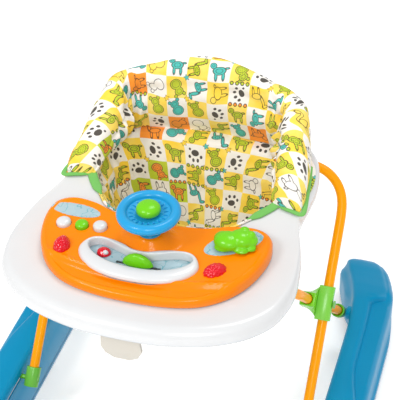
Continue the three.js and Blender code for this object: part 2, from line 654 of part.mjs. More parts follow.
function pushButton(x, y, radius) {
  const z = PANEL_TOP;
  const profile = [
    [0, z - 10], [radius, z - 10], [radius, z + 3], [radius - 1.5, z + 6], [radius - 4.5, z + 8.2], [0, z + 9],
  ];
  return turned(profile, 16).translate(x, y, 0);
}

function berry(x, y, rx, ry) {
  const lens = cut(
    ellipsoid([x, y, PANEL_TOP + GAP], rx, ry, 7, 12, 8),
    box(x - 40, x + 40, y - 40, y + 40, PANEL_TOP - 20, PANEL_TOP + GAP),
  );
  return join(lens, rod('z', PANEL_TOP - 5, PANEL_TOP + 3, 6, [x, y, 0], 16));
}

function sticker(centreX, centreY, halfLength, halfWidth, angle, holes) {
  const outline = new THREE.EllipseCurve(centreX, centreY, halfLength, halfWidth, 0, 2 * Math.PI, false, angle);
  const body = plate(outline.getPoints(28).slice(0, -1), PANEL_TOP + GAP, PANEL_TOP + 0.9);
  return holes.length > 0 ? cut(body, ...holes) : body;
}

function frog() {
  const z = PANEL_TOP + 3.3;
  const lumps = [
    ellipsoid([FROG.x - 3, FROG.y, z + 6], 20, 15, 10),
    ellipsoid([FROG.x + 16, FROG.y + 8, z + 9], 12, 11, 8),
    ellipsoid([FROG.x + 14, FROG.y + 15, z + 17], 4.5, 4.5, 4.5, 8, 6),
    ellipsoid([FROG.x + 23, FROG.y + 8, z + 17], 4.5, 4.5, 4.5, 8, 6),
    ellipsoid([FROG.x - 15, FROG.y - 12, z + 4], 11, 7, 5),
    ellipsoid([FROG.x + 9, FROG.y - 14, z + 4], 9, 6, 5),
    ellipsoid([FROG.x - 13, FROG.y + 13, z + 4], 10, 6, 5),
  ];
  const figure = cut(join(...lumps), box(0, 300, -300, 0, -20, z));
  return join(figure, rod('z', PANEL_TOP - 10, z + 4, 8, [FROG.x, FROG.y, 0], 20));
}

function steeringColumn() {
  const profile = [
    [0, PANEL_TOP - 8], [10, PANEL_TOP - 8], [10, MOUND_TOP + 0.5], [17, MOUND_TOP + 0.5], [17, MOUND_TOP + 2.5],
    [14.5, MOUND_TOP + 5], [14.5, WHEEL_Z - 12], [5, WHEEL_Z - 12], [5, WHEEL_Z + 0.5], [0, WHEEL_Z + 0.5],
  ];
  return turned(profile).translate(0, COLUMN_Y, 0);
}

function steeringWheel() {
  const r = WHEEL_RIM_R;
  const profile = [
    [5 + GAP, -12 + GAP], [19, -12 + GAP], [22, -7], [r - 13, -4], [r - 8, -7], [r - 2.5, -5], [r, 0],
    [r - 2, 4.5], [r - 7, 6.5], [r - 12, 4], [r - 15, 0], [20, 1], [18, 3], [18, -2], [5 + GAP, -2],
    [5 + GAP, -12 + GAP],
  ];
  return turned(profile, 28).translate(0, COLUMN_Y, WHEEL_Z);
}

function wheelCap() {
  const profile = [[0, 3], [17, 3], [17, 7], [15, 11], [10, 14], [5, 15.3], [0, 15.8]];
  return turned(profile, 20).translate(0, COLUMN_Y, WHEEL_Z);
}

function addToys() {
  add(trayGroup, 'toy_panel', toyPanel(), 'orange', 0.25);
  add(trayGroup, 'window_bezel', windowBezel(), 'white', 0.25);
  add(trayGroup, 'window_floor', windowFloor(), 'paleBlue', 0.5);
  add(trayGroup, 'hill_slider', hill(), 'green');
  const ladybird = cut(
    ellipsoid([BEAN_X - 52, -172, WINDOW_FLOOR_TOP + GAP], 9, 8, 7),
    box(-200, 200, -400, 0, -10, WINDOW_FLOOR_TOP + GAP),
  );
  add(trayGroup, 'window_ladybird', ladybird, 'red');
  for (const [place, x, y, radius] of BUTTONS) {
    add(trayGroup, `button_${place}`, pushButton(x, y, radius), place === 'middle' ? 'green' : 'white', 0.25);
  }
  for (const [name, x, y, rx, ry] of BERRIES) {
    add(trayGroup, `berry_light_${name}`, berry(x, y, rx, ry), 'red', 0.15);
  }
  const buttonHoles = BUTTONS.map(([, x, y, radius]) => rod('z', 25, 45, radius + 1, [x, y, 0], 16));
  add(trayGroup, 'picture_label_left', sticker(-124, -104, 38, 14, -0.04, buttonHoles), 'paleBlue', 0.4);
  const frogHole = [rod('z', 25, 45, 9, [FROG.x, FROG.y, 0])];
  add(trayGroup, 'picture_label_right', sticker(113, -114, 44, 21, 0.67, frogHole), 'paleBlue', 0.4);
  add(trayGroup, 'frog_key', frog(), 'green');
  add(trayGroup, 'steering_column', steeringColumn(), 'blue');
  add(trayGroup, 'steering_wheel', steeringWheel(), 'blue');
  add(trayGroup, 'horn_cap', wheelCap(), 'green', 0.25);
  const module = box(88, 148, -150, -92, SHELL_TOP + 1.5, SHELL_TOP + 6.5);
  add(trayGroup, 'sound_module', module, 'grey', 0.6);
}

// ---------------------------------------------------------------- fabric seat
// [depth below the tray, scale of the opening's outline, centre y]
const SEAT_LEVELS = [
  [-11, 0.965, 28], [10, 0.96, 28], [60, 0.9, 28], [120, 0.8, 27], [170, 0.68, 26], [205, 0.5, 25],
  [SEAT_DEPTH, 0.26, 25],
];

const SEAT_CENTRE_Y = 28;
const LEG_HOLE = { radius: 37, length: 130, slope: 0.6, x: 49, y: -62, z: -186 };

function seatRings(shrink) {
  const loop = smoothLoop(OPENING, 32);
  return SEAT_LEVELS.map(([depth, scale, centreY]) => loop.map((p) => {
    const reach = new THREE.Vector2(p.x * scale, (p.y - SEAT_CENTRE_Y) * scale);
    reach.multiplyScalar(1 - shrink / reach.length());
    return new THREE.Vector3(reach.x, centreY + reach.y, -depth);
  }));
}

// a leg goes through the front of the seat, forwards and down
function legHole(side) {
  const hole = new THREE.CylinderGeometry(LEG_HOLE.radius, LEG_HOLE.radius, LEG_HOLE.length, 24);
  return hole.rotateX(LEG_HOLE.slope).translate(side * LEG_HOLE.x, LEG_HOLE.y, LEG_HOLE.z);
}

function seatBucket() {
  const outer = loft(seatRings(0));
  const inner = seatRings(SEAT_WALL).slice(0, -1);
  inner[0].forEach((p) => { p.z += SEAT_WALL; });
  inner[inner.length - 1].forEach((p) => { p.z += SEAT_WALL; });
  return cut(outer, loft(inner), legHole(-1), legHole(1));
}

// half of the pad's outer line, from a wing's front end to the middle of the back: [x, y, the pad's top there]
const BACK_PATH = [
  [182, -8, 34], [178, 30, 52], [173, 66, 72], [167, 100, 92], [156, 132, 111], [130, 153, 118], [98, 165, 124],
  [52, 174, 136], [0, 177, 142],
];
const BACK_THICKNESS = { side: 44, rear: 30 };

// the padded wall that stands on the ring
function backrest() {
  const half = new THREE.CatmullRomCurve3(BACK_PATH.map((point) => new THREE.Vector3(...point)));
  const right = half.getSpacedPoints(14);
  const left = right.slice(0, -1).reverse().map((p) => new THREE.Vector3(-p.x, p.y, p.z));
  const path = [...right, ...left];
  const low = SHELL_TOP + 2;
  const rings = path.map((p, i) => {
    const ahead = path[Math.min(i + 1, path.length - 1)];
    const behind = path[Math.max(i - 1, 0)];
    const inward = new THREE.Vector3(behind.y - ahead.y, ahead.x - behind.x, 0).normalize();
    const top = p.z;
    const slimming = ramp(p.y, 100, 165);
    const thickness = THREE.MathUtils.lerp(BACK_THICKNESS.side, BACK_THICKNESS.rear, slimming);
    const place = (depth, z) => new THREE.Vector3(p.x + inward.x * depth, p.y + inward.y * depth, z);
    return [
      place(3, low), place(0, low + 6), place(0, top - 10), place(4, top - 3), place(thickness / 2, top),
      place(thickness - 4, top - 3), place(thickness, top - 10), place(thickness, low + 6),
      place(thickness - 3, low),
    ];
  });
  return loft(rings);
}

function addSeat() {
  add(trayGroup, 'seat_bucket', seatBucket(), 'cloth', 0.9);
  add(trayGroup, 'backrest_pad', backrest(), 'cloth', 0.9);
}

addBase();
addFrame();
addTray();
addToys();
addSeat();

export default walker;
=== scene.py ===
"""The looks of the baby walker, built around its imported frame. Metres, +Z up, +Y towards the backrest."""
import json
import math

import bmesh
import bpy
from mathutils import Euler, Matrix, Vector, noise

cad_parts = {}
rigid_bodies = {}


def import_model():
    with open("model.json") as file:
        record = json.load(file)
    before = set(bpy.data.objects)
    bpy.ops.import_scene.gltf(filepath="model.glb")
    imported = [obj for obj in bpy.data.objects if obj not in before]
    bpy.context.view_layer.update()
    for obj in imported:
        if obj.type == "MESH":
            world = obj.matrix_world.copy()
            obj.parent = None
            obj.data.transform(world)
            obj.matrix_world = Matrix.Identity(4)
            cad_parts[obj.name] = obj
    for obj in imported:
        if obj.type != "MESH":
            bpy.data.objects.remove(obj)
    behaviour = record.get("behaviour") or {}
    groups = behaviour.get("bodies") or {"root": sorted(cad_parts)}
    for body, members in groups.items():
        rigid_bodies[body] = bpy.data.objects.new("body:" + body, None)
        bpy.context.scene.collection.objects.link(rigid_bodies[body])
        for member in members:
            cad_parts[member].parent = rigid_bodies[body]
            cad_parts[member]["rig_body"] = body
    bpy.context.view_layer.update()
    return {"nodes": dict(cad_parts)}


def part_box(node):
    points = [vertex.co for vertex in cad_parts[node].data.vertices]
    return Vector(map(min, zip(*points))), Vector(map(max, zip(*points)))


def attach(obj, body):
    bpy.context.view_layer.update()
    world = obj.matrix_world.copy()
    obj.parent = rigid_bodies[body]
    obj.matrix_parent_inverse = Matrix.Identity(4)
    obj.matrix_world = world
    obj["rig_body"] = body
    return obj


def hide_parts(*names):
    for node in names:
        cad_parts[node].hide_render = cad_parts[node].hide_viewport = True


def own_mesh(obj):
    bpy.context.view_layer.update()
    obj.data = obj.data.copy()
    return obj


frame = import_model()
MM = 0.001


# ---------------------------------------------------------------- places taken from the frame
def middle(node):
    low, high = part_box(node)
    return (low + high) / 2


SIDES = {"left": -1, "right": 1}
TRAY_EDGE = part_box("tray_shell")[0].z + 12 * MM
PANEL_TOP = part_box("window_bezel")[1].z - 8 * MM
PANEL_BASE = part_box("toy_panel")[0].z
BEZEL = middle("window_bezel")
COLUMN = middle("steering_column")
BACK_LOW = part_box("backrest_pad")[0]
PIVOT_Y = middle("pivot_rivet_right").y
REST_TILT, FOLDED_TILT = math.radians(42.8), math.radians(71.8)  # the legs, from upright
HALF_LEG = (middle("rear_foot_pin_right").y - PIVOT_Y) / math.sin(REST_TILT)
FOOT_TRAVEL = 2 * HALF_LEG * (math.sin(FOLDED_TILT) - math.sin(REST_TILT))


def turns(count):
    """Evenly spaced angles round a circle."""
    return [2 * math.pi * i / count for i in range(count)]


def on_tray(x, y):
    """A place on the tray in millimetres from the scissor pivot, in metres."""
    return Vector((x * MM, PIVOT_Y + y * MM, 0))


# ---------------------------------------------------------------- camera, light and floor
CAMERA_PLACE = Vector((0.4704, -1.2726, 1.5194))
CAMERA_TURN, CAMERA_TILT, CAMERA_ROLL = (math.radians(a) for a in (18.91, 39.39, -2.47))
CAMERA_LENS = 108


def add_object(name, data):
    item = bpy.data.objects.new(name, data)
    bpy.context.scene.collection.objects.link(item)
    return item


def add_camera():
    camera = add_object("camera", bpy.data.cameras.new("camera"))
    camera.data.lens = CAMERA_LENS
    camera.data.sensor_width = 36
    camera.data.clip_end = 50
    turn = Euler((math.pi / 2 - CAMERA_TILT, 0, CAMERA_TURN)).to_matrix()
    roll = Matrix.Rotation(CAMERA_ROLL, 3, "Z")
    camera.matrix_world = Matrix.Translation(CAMERA_PLACE) @ (turn @ roll).to_4x4()
    bpy.context.scene.camera = camera


def add_light(name, place, size, power, target=(0, 0, 0.35)):
    lamp = add_object(name, bpy.data.lights.new(name, "AREA"))
    lamp.data.shape = "DISK"
    lamp.data.size = size
    lamp.data.energy = power
    lamp.location = place
    lamp.rotation_euler = (Vector(target) - Vector(place)).to_track_quat("-Z", "Y").to_euler()


def add_stage():
    mesh = bpy.data.meshes.new("floor")
    reach = 9
    corners = [(-reach, -reach, 0), (reach, -reach, 0), (reach, reach, 0), (-reach, reach, 0)]
    mesh.from_pydata(corners, [], [(0, 1, 2, 3)])
    floor = add_object("floor", mesh)
    material = new_material("floor_paper", (0.94, 0.94, 0.94), roughness=0.9, emission_strength=0.28)
    material.node_tree.nodes["Principled BSDF"].inputs["Emission Color"].default_value = (1, 1, 1, 1)
    mesh.materials.append(material)
    world = bpy.data.worlds.new("studio")
    bpy.context.scene.world = world
    world.use_nodes = True
    world.node_tree.nodes["Background"].inputs["Color"].default_value = (1, 1, 1, 1)
    world.node_tree.nodes["Background"].inputs["Strength"].default_value = 0.64
    add_light("key", (-1.4, -1.9, 2.8), 1.0, 34)
    add_light("front", (0.8, -2.6, 2.6), 1.2, 38)
    add_light("top", (0.3, 1.0, 2.9), 1.0, 20)
    bpy.context.scene.view_settings.view_transform = "Standard"


# ---------------------------------------------------------------- numbers on a surface, as Math nodes
class Field:
    """A number that varies over a surface. Its sums and products become Math nodes."""

    def __init__(self, tree, value):
        self.tree = tree
        self.value = value

    def math(self, operation, *others, clamp=False):
        node = self.tree.nodes.new("ShaderNodeMath")
        node.operation = operation
        node.use_clamp = clamp
        for socket, item in zip(node.inputs, (self, *others)):
            item = item.value if isinstance(item, Field) else item
            if isinstance(item, (int, float)):
                socket.default_value = item
            else:
                self.tree.links.new(item, socket)
        return Field(self.tree, node.outputs[0])

    def __add__(self, other):
        return self.math("ADD", other)

    def __sub__(self, other):
        return self.math("SUBTRACT", other)

    def __mul__(self, other):
        return self.math("MULTIPLY", other)

    def below(self, limit):
        return self.math("LESS_THAN", limit)

    def above(self, limit):
        return self.math("GREATER_THAN", limit)

    def least(self, other):
        return self.math("MINIMUM", other)

    def pick(self, other, choice):
        """self where choice is 0, and other where it is 1."""
        return self + (other - self) * choice


def length(x, y):
    return (x * x + y * y).math("SQRT")


def colour_node(tree, first, second, choice):
    """A colour mixed from two, by a Field or a number. Colours are sockets or triples."""
    node = tree.nodes.new("ShaderNodeMix")
    node.data_type = "RGBA"
    for socket, item in ((node.inputs["Factor"], choice), (node.inputs[6], first), (node.inputs[7], second)):
        item = item.value if isinstance(item, Field) else item
        if isinstance(item, bpy.types.NodeSocket):
            tree.links.new(item, socket)
        else:
            socket.default_value = (*item, 1) if isinstance(item, tuple) else item
    return node.outputs[2]


def texture(tree, kind, scale, detail=2.0, vector=None):
    node = tree.nodes.new(kind)
    node.inputs["Scale"].default_value = scale
    if "Detail" in node.inputs:
        node.inputs["Detail"].default_value = detail
    if vector is None:
        vector = object_place(tree)
    tree.links.new(vector, node.inputs["Vector"])
    return node


def mottle(tree, scale, detail):
    """Soft noise as a Field."""
    return Field(tree, texture(tree, "ShaderNodeTexNoise", scale, detail).outputs["Fac"])


def object_place(tree):
    node = tree.nodes.get("place") or tree.nodes.new("ShaderNodeTexCoord")
    node.name = "place"
    return node.outputs["Object"]


def add_bump(tree, height, strength, distance):
    bump = tree.nodes.new("ShaderNodeBump")
    bump.inputs["Strength"].default_value = strength
    bump.inputs["Distance"].default_value = distance
    tree.links.new(height.value, bump.inputs["Height"])
    tree.links.new(bump.outputs["Normal"], tree.nodes["Principled BSDF"].inputs["Normal"])


# ---------------------------------------------------------------- materials
SOCKETS = {"ior_level": "Specular IOR Level"}


def new_material(name, colour, roughness=0.35, **sockets):
    material = bpy.data.materials.new(name)
    material.use_nodes = True
    shader = material.node_tree.nodes["Principled BSDF"]
    shader.inputs["Base Color"].default_value = (*colour, 1)
    shader.inputs["Roughness"].default_value = roughness
    for socket, value in sockets.items():
        shader.inputs[SOCKETS.get(socket, socket.replace("_", " ").title())].default_value = value
    return material


def link_surface(tree, colour, rough):
    shader = tree.nodes["Principled BSDF"]
    tree.links.new(colour, shader.inputs["Base Color"])
    tree.links.new(rough.value, shader.inputs["Roughness"])


def shaded(value, colour):
    return tuple(min(1.0, channel * value) for channel in colour)


def moulded(name, colour, roughness=0.3, coat=0.15, edge_highlight=0.5, grain=0.02, ior_level=0.3, **sockets):
    """Moulded plastic or paint: faint flow marks, a fine orange-peel bump, and painted highlights that
    lighten its sharp convex edges.
    """
    sockets.update(coat_weight=coat, coat_roughness=0.1, ior_level=ior_level)
    material = new_material(name, colour, roughness, **sockets)
    tree = material.node_tree
    flow, speckle = mottle(tree, 9, 3), mottle(tree, 420, 2)
    body = colour_node(tree, shaded(0.93, colour), shaded(1.05, colour), flow)
    edges = tree.nodes.new("ShaderNodeNewGeometry")
    # painted highlight: sharp convex edges, found by pointiness, are mixed towards a pale tint of the colour
    highlight_mask = (Field(tree, edges.outputs["Pointiness"]) - 0.53).math("MULTIPLY", 9 * edge_highlight, clamp=True)
    pale = tuple(channel + (1 - channel) * 0.35 for channel in colour)
    rough = flow * 0.10 + speckle * 0.05 + (roughness - 0.07)
    link_surface(tree, colour_node(tree, body, pale, highlight_mask), rough)
    add_bump(tree, speckle, grain * 10, 0.12 * MM)
    return material


# ---- the printed cloth
TILE = 36 * MM  # one square of the print
WHITE_CLOTH = (0.92, 0.89, 0.83)
YELLOW = (1.0, 0.68, 0.035)
PALE_YELLOW = (1.0, 0.80, 0.20)
LIME = (0.52, 0.62, 0.01)
TANGERINE = (0.98, 0.30, 0.01)
TURQUOISE = (0.06, 0.52, 0.46)
FOREST = (0.02, 0.16, 0.10)
BROWN = (0.022, 0.014, 0.007)
PICTURE_SCALE = 0.70  # below 1 the animals fill more of their squares


class Tile:
    """The place of a point in its printed square, turned with the square's own picture."""

    def __init__(self, x, y):
        self.x = x
        self.y = y

    def turned(self, angle):
        c, s = angle.math("COSINE"), angle.math("SINE")
        return Tile(self.x * c - self.y * s, self.x * s + self.y * c)

    def ellipse(self, x, y, rx, ry):
        """About the distance to an ellipse's edge, negative inside."""
        return (length((self.x - x) * (1 / rx), (self.y - y) * (1 / ry)) - 1) * min(rx, ry)

    def blob(self, *ellipses):
        fields = [self.ellipse(*e) for e in ellipses]
        whole = fields[0]
        for field in fields[1:]:
            whole = whole.least(field)
        return whole


# generic animals and a paw, each made of ellipses (x, y, rx, ry) in shares of a square
GRAZER = ((0, 0, 0.2, 0.12), (0.2, 0.15, 0.1, 0.09), (-0.13, -0.17, 0.045, 0.12),
          (0.1, -0.17, 0.045, 0.12), (-0.23, 0.07, 0.06, 0.03))
LONG_NECK = ((-0.07, -0.06, 0.16, 0.1), (0.1, 0.12, 0.05, 0.19), (0.16, 0.29, 0.1, 0.05),
             (-0.16, -0.22, 0.035, 0.12), (0.04, -0.22, 0.035, 0.12))
SITTER = ((0, -0.09, 0.19, 0.17), (0.02, 0.16, 0.14, 0.12), (-0.13, 0.27, 0.055, 0.055),
          (0.16, 0.27, 0.055, 0.055))
PAW = ((0, -0.08, 0.13, 0.1), (-0.2, 0.04, 0.045, 0.055), (-0.08, 0.15, 0.045, 0.06),
       (0.08, 0.15, 0.045, 0.06), (0.2, 0.04, 0.045, 0.055), (-0.16, -0.2, 0.035, 0.04))


def white_noise(tree, x, y):
    node = tree.nodes.new("ShaderNodeTexWhiteNoise")
    node.noise_dimensions = "2D"
    combine = tree.nodes.new("ShaderNodeCombineXYZ")
    tree.links.new(x.value, combine.inputs["X"])
    tree.links.new(y.value, combine.inputs["Y"])
    tree.links.new(combine.outputs["Vector"], node.inputs["Vector"])
    split = tree.nodes.new("ShaderNodeSeparateColor")
    tree.links.new(node.outputs["Color"], split.inputs["Color"])
    return [Field(tree, split.outputs[i]) for i in range(3)] + [Field(tree, node.outputs["Value"])]


def uv_fields(tree):
    uv = tree.nodes.new("ShaderNodeUVMap")
    uv.uv_map = "cloth"
    split = tree.nodes.new("ShaderNodeSeparateXYZ")
    tree.links.new(uv.outputs["UV"], split.inputs["Vector"])
    return uv.outputs["UV"], Field(tree, split.outputs["X"]), Field(tree, split.outputs["Y"])


def print_colour(tree, u, v):
    """The print: a checker of squares with small animals, paw prints, stars and rows of rings."""
    x, y = u * (1 / TILE), v * (1 / TILE)
    column, row = x.math("FLOOR"), y.math("FLOOR")
    tile = Tile((x - column - 0.5) * PICTURE_SCALE, (y - row - 0.5) * PICTURE_SCALE)
    warm = (column + row).math("FLOORED_MODULO", 2)
    white = warm * -1 + 1
    pick, spin, kind, hue = white_noise(tree, column, row)
    yellow = colour_node(tree, YELLOW, PALE_YELLOW, (mottle(tree, 30, 2) - 0.35) * 2.4)
    colour = colour_node(tree, yellow, TANGERINE, pick.above(0.93))
    colour = colour_node(tree, colour, LIME, pick.below(0.11))
    colour = colour_node(tree, WHITE_CLOTH, colour, warm)

    picture = tile.turned((spin * 4).math("FLOOR") * (math.pi / 2) + kind * 0.5)
    animal = picture.blob(*GRAZER).pick(picture.blob(*LONG_NECK), kind.above(0.4)).pick(
        picture.blob(*SITTER), kind.above(0.7))
    is_paw = white * pick.below(0.34)
    is_line = hue.above(0.74)
    inside = animal.below(0) * (is_paw * -1 + 1) * (is_line * -1 + 1)
    fill = colour_node(tree, TURQUOISE, LIME, warm)
    fill = colour_node(tree, fill, TANGERINE, hue.below(0.14))
    colour = colour_node(tree, colour, fill, inside)
    dots = length((picture.x * 52).math("SINE"), (picture.y * 52).math("SINE")).below(0.6)
    shade = colour_node(tree, BROWN, FOREST, white)
    colour = colour_node(tree, colour, shade, inside * dots * hue.below(0.5) * 0.8)
    outline = animal.math("ABSOLUTE").below(0.011) * (is_paw * -1 + 1)
    features = inside * (animal + 0.055).math("ABSOLUTE").below(0.006)
    paw = picture.blob(*PAW).below(0) * is_paw
    ink = ((outline + features) * 0.85 + paw * 0.95).math("MINIMUM", 1)
    colour = colour_node(tree, colour, BROWN, ink)
    colour = add_stars(tree, colour, x, y)
    return add_rings(tree, colour, x, y)


def add_stars(tree, colour, x, y):
    corner_x, corner_y = x.math("ROUND"), y.math("ROUND")
    dx, dy = x - corner_x, y - corner_y
    shown, hue, _, _ = white_noise(tree, corner_x + 31, corner_y)
    angle = dy.math("ARCTAN2", dx) * 5
    reach = angle.math("COSINE") * 0.035 + 0.1
    distance = length(dx, dy) - reach
    body = distance.below(0) * shown.below(0.3)
    edge = distance.math("ABSOLUTE").below(0.014) * shown.below(0.3)
    fill = colour_node(tree, YELLOW, TURQUOISE, hue.above(0.5))
    return colour_node(tree, colour_node(tree, colour, fill, body), BROWN, edge * 0.8)


def add_rings(tree, colour, x, y):
    column, line = x.math("FLOOR"), y.math("ROUND")
    shown, hue, _, _ = white_noise(tree, column, line + 77)
    step = ((x - column) * 4).math("FLOOR")
    dx = (x - column) * 4 - step - 0.5
    dy = (y - line) * 4
    distance = length(dx, dy) - 0.3
    ring = distance.math("ABSOLUTE").below(0.09) * shown.below(0.22)
    disc = distance.below(0) * shown.below(0.22)
    fill = colour_node(tree, LIME, TANGERINE, hue.above(0.6))
    return colour_node(tree, colour_node(tree, colour, fill, disc), BROWN, ring * 0.85)


def weave_height(u, v, pitch):
    across = (u * (2 * math.pi / pitch)).math("SINE")
    along = (v * (2 * math.pi / pitch)).math("SINE")
    return across * along * 0.5


def cloth(name, printed=True, colour=WHITE_CLOTH):
    material = new_material(name, colour, 0.85, sheen_weight=0.08, sheen_roughness=0.5, ior_level=0.15)
    tree = material.node_tree
    _, u, v = uv_fields(tree)
    base = print_colour(tree, u, v) if printed else colour_node(tree, colour, shaded(0.8, colour), 0.3)
    soft = mottle(tree, 26, 4)
    worn = colour_node(tree, base, shaded(0.9, WHITE_CLOTH), soft * 0.08)
    link_surface(tree, worn, soft * 0.12 + 0.76)
    height = weave_height(u, v, 1.1 * MM) * 0.25 + mottle(tree, 55, 3) * 1.5
    add_bump(tree, height, 0.5, 1.2 * MM)
    return material


def picture_film(name, pale=(0.30, 0.47, 0.53)):
    """A printed picture label: pale blue with drawn curls, dots and a few yellow specks."""
    material = new_material(name, pale, 0.3, coat_weight=0.5, coat_roughness=0.1)
    tree = material.node_tree
    wash = mottle(tree, 22, 3)
    base = colour_node(tree, pale, (0.50, 0.62, 0.66), wash)
    line = (mottle(tree, 75, 1) - 0.5).math("ABSOLUTE").below(0.018)
    base = colour_node(tree, base, (0.05, 0.36, 0.42), line * 0.6)
    dots = texture(tree, "ShaderNodeTexVoronoi", 90)
    dot = Field(tree, dots.outputs["Distance"]).below(0.26)
    warm = wash.above(0.5)
    base = colour_node(tree, base, (0.85, 0.55, 0.05), dot * warm)
    base = colour_node(tree, base, (0.1, 0.35, 0.3), dot * (warm * -1 + 1) * 0.4)
    link_surface(tree, base, wash * 0.15 + 0.2)
    return material


MATERIALS = {
    "blue_plastic": moulded("blue_shell", (0.0, 0.265, 0.50), roughness=0.34, coat=0.06, ior_level=0.12),
    "toy_blue": moulded("blue_toy", (0.012, 0.33, 0.66)),
    "white_plastic": moulded("white_shell", (0.69, 0.695, 0.70), roughness=0.24, edge_highlight=0.2, ior_level=0.45),
    "orange_plastic": moulded("orange_panel", (0.97, 0.24, 0.0), roughness=0.25, coat=0.16, edge_highlight=0.2,
                              ior_level=0.1),
    "green_plastic": moulded("green_toy", (0.16, 0.60, 0.004), roughness=0.26),
    "foot_green": moulded("green_socket", (0.10, 0.46, 0.002), roughness=0.3),
    "cream_plastic": moulded("cream_lever", (0.60, 0.56, 0.49), roughness=0.45, coat=0.05),
    "grey_plastic": moulded("grey_fork", (0.25, 0.27, 0.28), roughness=0.5, coat=0),
    "red_lens": moulded("red_lens", (0.70, 0.0, 0.012), roughness=0.16, coat=0.7, edge_highlight=0.1, ior_level=0.2),
    "orange_paint": moulded("orange_tube", (1.0, 0.36, 0.0), roughness=0.3, coat=0.14, edge_highlight=0.2,
                            ior_level=0.1),
    "steel": moulded("zinc_steel", (0.55, 0.56, 0.57), roughness=0.3, coat=0, metallic=1.0),
    "rubber": moulded("grey_rubber", (0.05, 0.05, 0.053), roughness=0.7, coat=0, grain=0.06),
    "picture_label": picture_film("picture_label"),
    "seat_fabric": cloth("printed_cotton"),
    "binding": cloth("green_binding", printed=False, colour=(0.16, 0.52, 0.10)),
}


# ---------------------------------------------------------------- mesh helpers
def new_piece(name, vertices, faces, smooth=True):
    mesh = bpy.data.meshes.new(name)
    mesh.from_pydata([tuple(v) for v in vertices], [], faces)
    piece = add_object(name, mesh)
    tidy_mesh(piece)
    if smooth:
        smooth_all(mesh)
    return piece


def smooth_all(mesh):
    mesh.polygons.foreach_set("use_smooth", [True] * len(mesh.polygons))


def rework(piece, *changes):
    """Opens a piece's mesh, makes each change to it and writes it back."""
    work = bmesh.new()
    work.from_mesh(piece.data)
    for change in changes:
        change(work)
    work.to_mesh(piece.data)
    work.free()


def face_outward(work):
    bmesh.ops.recalc_face_normals(work, faces=work.faces)


def tidy_mesh(piece, gap=1e-6):
    rework(piece, lambda work: bmesh.ops.remove_doubles(work, verts=work.verts, dist=gap), face_outward)


def bake(piece):
    """Applies every modifier on a piece."""
    graph = bpy.context.evaluated_depsgraph_get()
    graph.update()
    mesh = bpy.data.meshes.new_from_object(piece.evaluated_get(graph))
    piece.modifiers.clear()
    piece.data = mesh
    return piece


def modify(piece, kind, **settings):
    modifier = piece.modifiers.new(kind.lower(), kind)
    for key, value in settings.items():
        setattr(modifier, key, value)
    return modifier


def smooth_by_angle(piece, degrees):
    limit = math.radians(degrees)

    def mark_edges(work):
        for edge in work.edges:
            edge.smooth = len(edge.link_faces) == 2 and edge.calc_face_angle(0) < limit

    smooth_all(piece.data)
    rework(piece, mark_edges)


def grid_faces(rows, columns, close_rows=False, close_columns=True):
    faces = []
    for i in range(rows if close_rows else rows - 1):
        for j in range(columns if close_columns else columns - 1):
            k, n = (j + 1) % columns, (i + 1) % rows
            faces.append((i * columns + j, i * columns + k, n * columns + k, n * columns + j))
    return faces


def capped_faces(rows, columns):
    """The faces over rings of points, with a cap at each end."""
    last = (rows - 1) * columns
    return grid_faces(rows, columns) + [tuple(range(columns - 1, -1, -1)), tuple(range(last, last + columns))]


def melt(piece, voxel, rounds=0):
    """Runs a piece's lumps into one skin and softens it."""
    modify(piece, "REMESH", mode="VOXEL", voxel_size=voxel)
    if rounds:
        modify(piece, "SMOOTH", iterations=rounds, factor=0.5)
    bake(piece)


def subdivide(piece, levels=1):
    modify(piece, "SUBSURF", levels=levels)
    bake(piece)


def cut_out(piece, cutters):
    """Takes the cutters' shapes out of a piece, then removes the cutters."""
    for cutter in cutters:
        modify(piece, "BOOLEAN", object=cutter, operation="DIFFERENCE", solver="EXACT")
    bake(piece)
    for cutter in cutters:
        bpy.data.objects.remove(cutter)


def finish_piece(piece, node, material, body=None):
    """Gives a piece its material and its body, and hides the CAD node that it stands for."""
    piece.data.materials.clear()
    piece.data.materials.append(MATERIALS[material])
    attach(piece, body or frame["nodes"][node]["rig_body"])
    if node:
        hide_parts(node)
    return piece


def copy_of(node):
    mesh = frame["nodes"][node].data.copy()
    piece = add_object(node + "_fine", mesh)
    tidy_mesh(piece, 2e-6)
    return piece


def quads_of(piece, degrees=30):
    limit = math.radians(degrees)
    rework(piece, lambda work: bmesh.ops.join_triangles(
        work, faces=work.faces, angle_face_threshold=limit, angle_shape_threshold=math.pi))


def rounded_copy(node, material, width=0.8 * MM, angle=35):
    """A machined or moulded CAD part with its sharp edges broken by a small round."""
    piece = copy_of(node)
    modify(piece, "BEVEL", width=width, segments=3, limit_method="ANGLE", angle_limit=math.radians(angle))
    bake(piece)
    smooth_by_angle(piece, 40)
    return finish_piece(piece, node, material)


def subdivided_copy(node, material, levels=2, angle=60):
    """A lofted CAD part with its facets smoothed away."""
    piece = copy_of(node)
    quads_of(piece)
    subdivide(piece, levels)
    smooth_by_angle(piece, angle)
    return finish_piece(piece, node, material)


def melted_copy(node, material, voxel, rounds):
    """A figure made of lumps, run together and softened."""
    piece = copy_of(node)
    melt(piece, voxel, rounds)
    smooth_by_angle(piece, 60)
    return finish_piece(piece, node, material)


# ---------------------------------------------------------------- outlines
CURVE_STEPS = 24  # between two of an outline's points


def spline(p0, p1, p2, p3, t):
    """A smooth curve from p1 to p2 that heads as its neighbours do; works for numbers and vectors."""
    return 0.5 * (2 * p1 + (p2 - p0) * t + (2 * p0 - 5 * p1 + 4 * p2 - p3) * t * t
                  + (3 * p1 - p0 - 3 * p2 + p3) * t ** 3)


def smooth_loop(points, count):
    """A closed curve through points, evenly spaced along its length."""
    dense = []
    total = len(points)
    for i in range(total):
        p0, p1, p2, p3 = (Vector(points[(i + k) % total]) for k in (-1, 0, 1, 2))
        dense += [spline(p0, p1, p2, p3, step / CURVE_STEPS) for step in range(CURVE_STEPS)]
    return even_loop(dense, count)


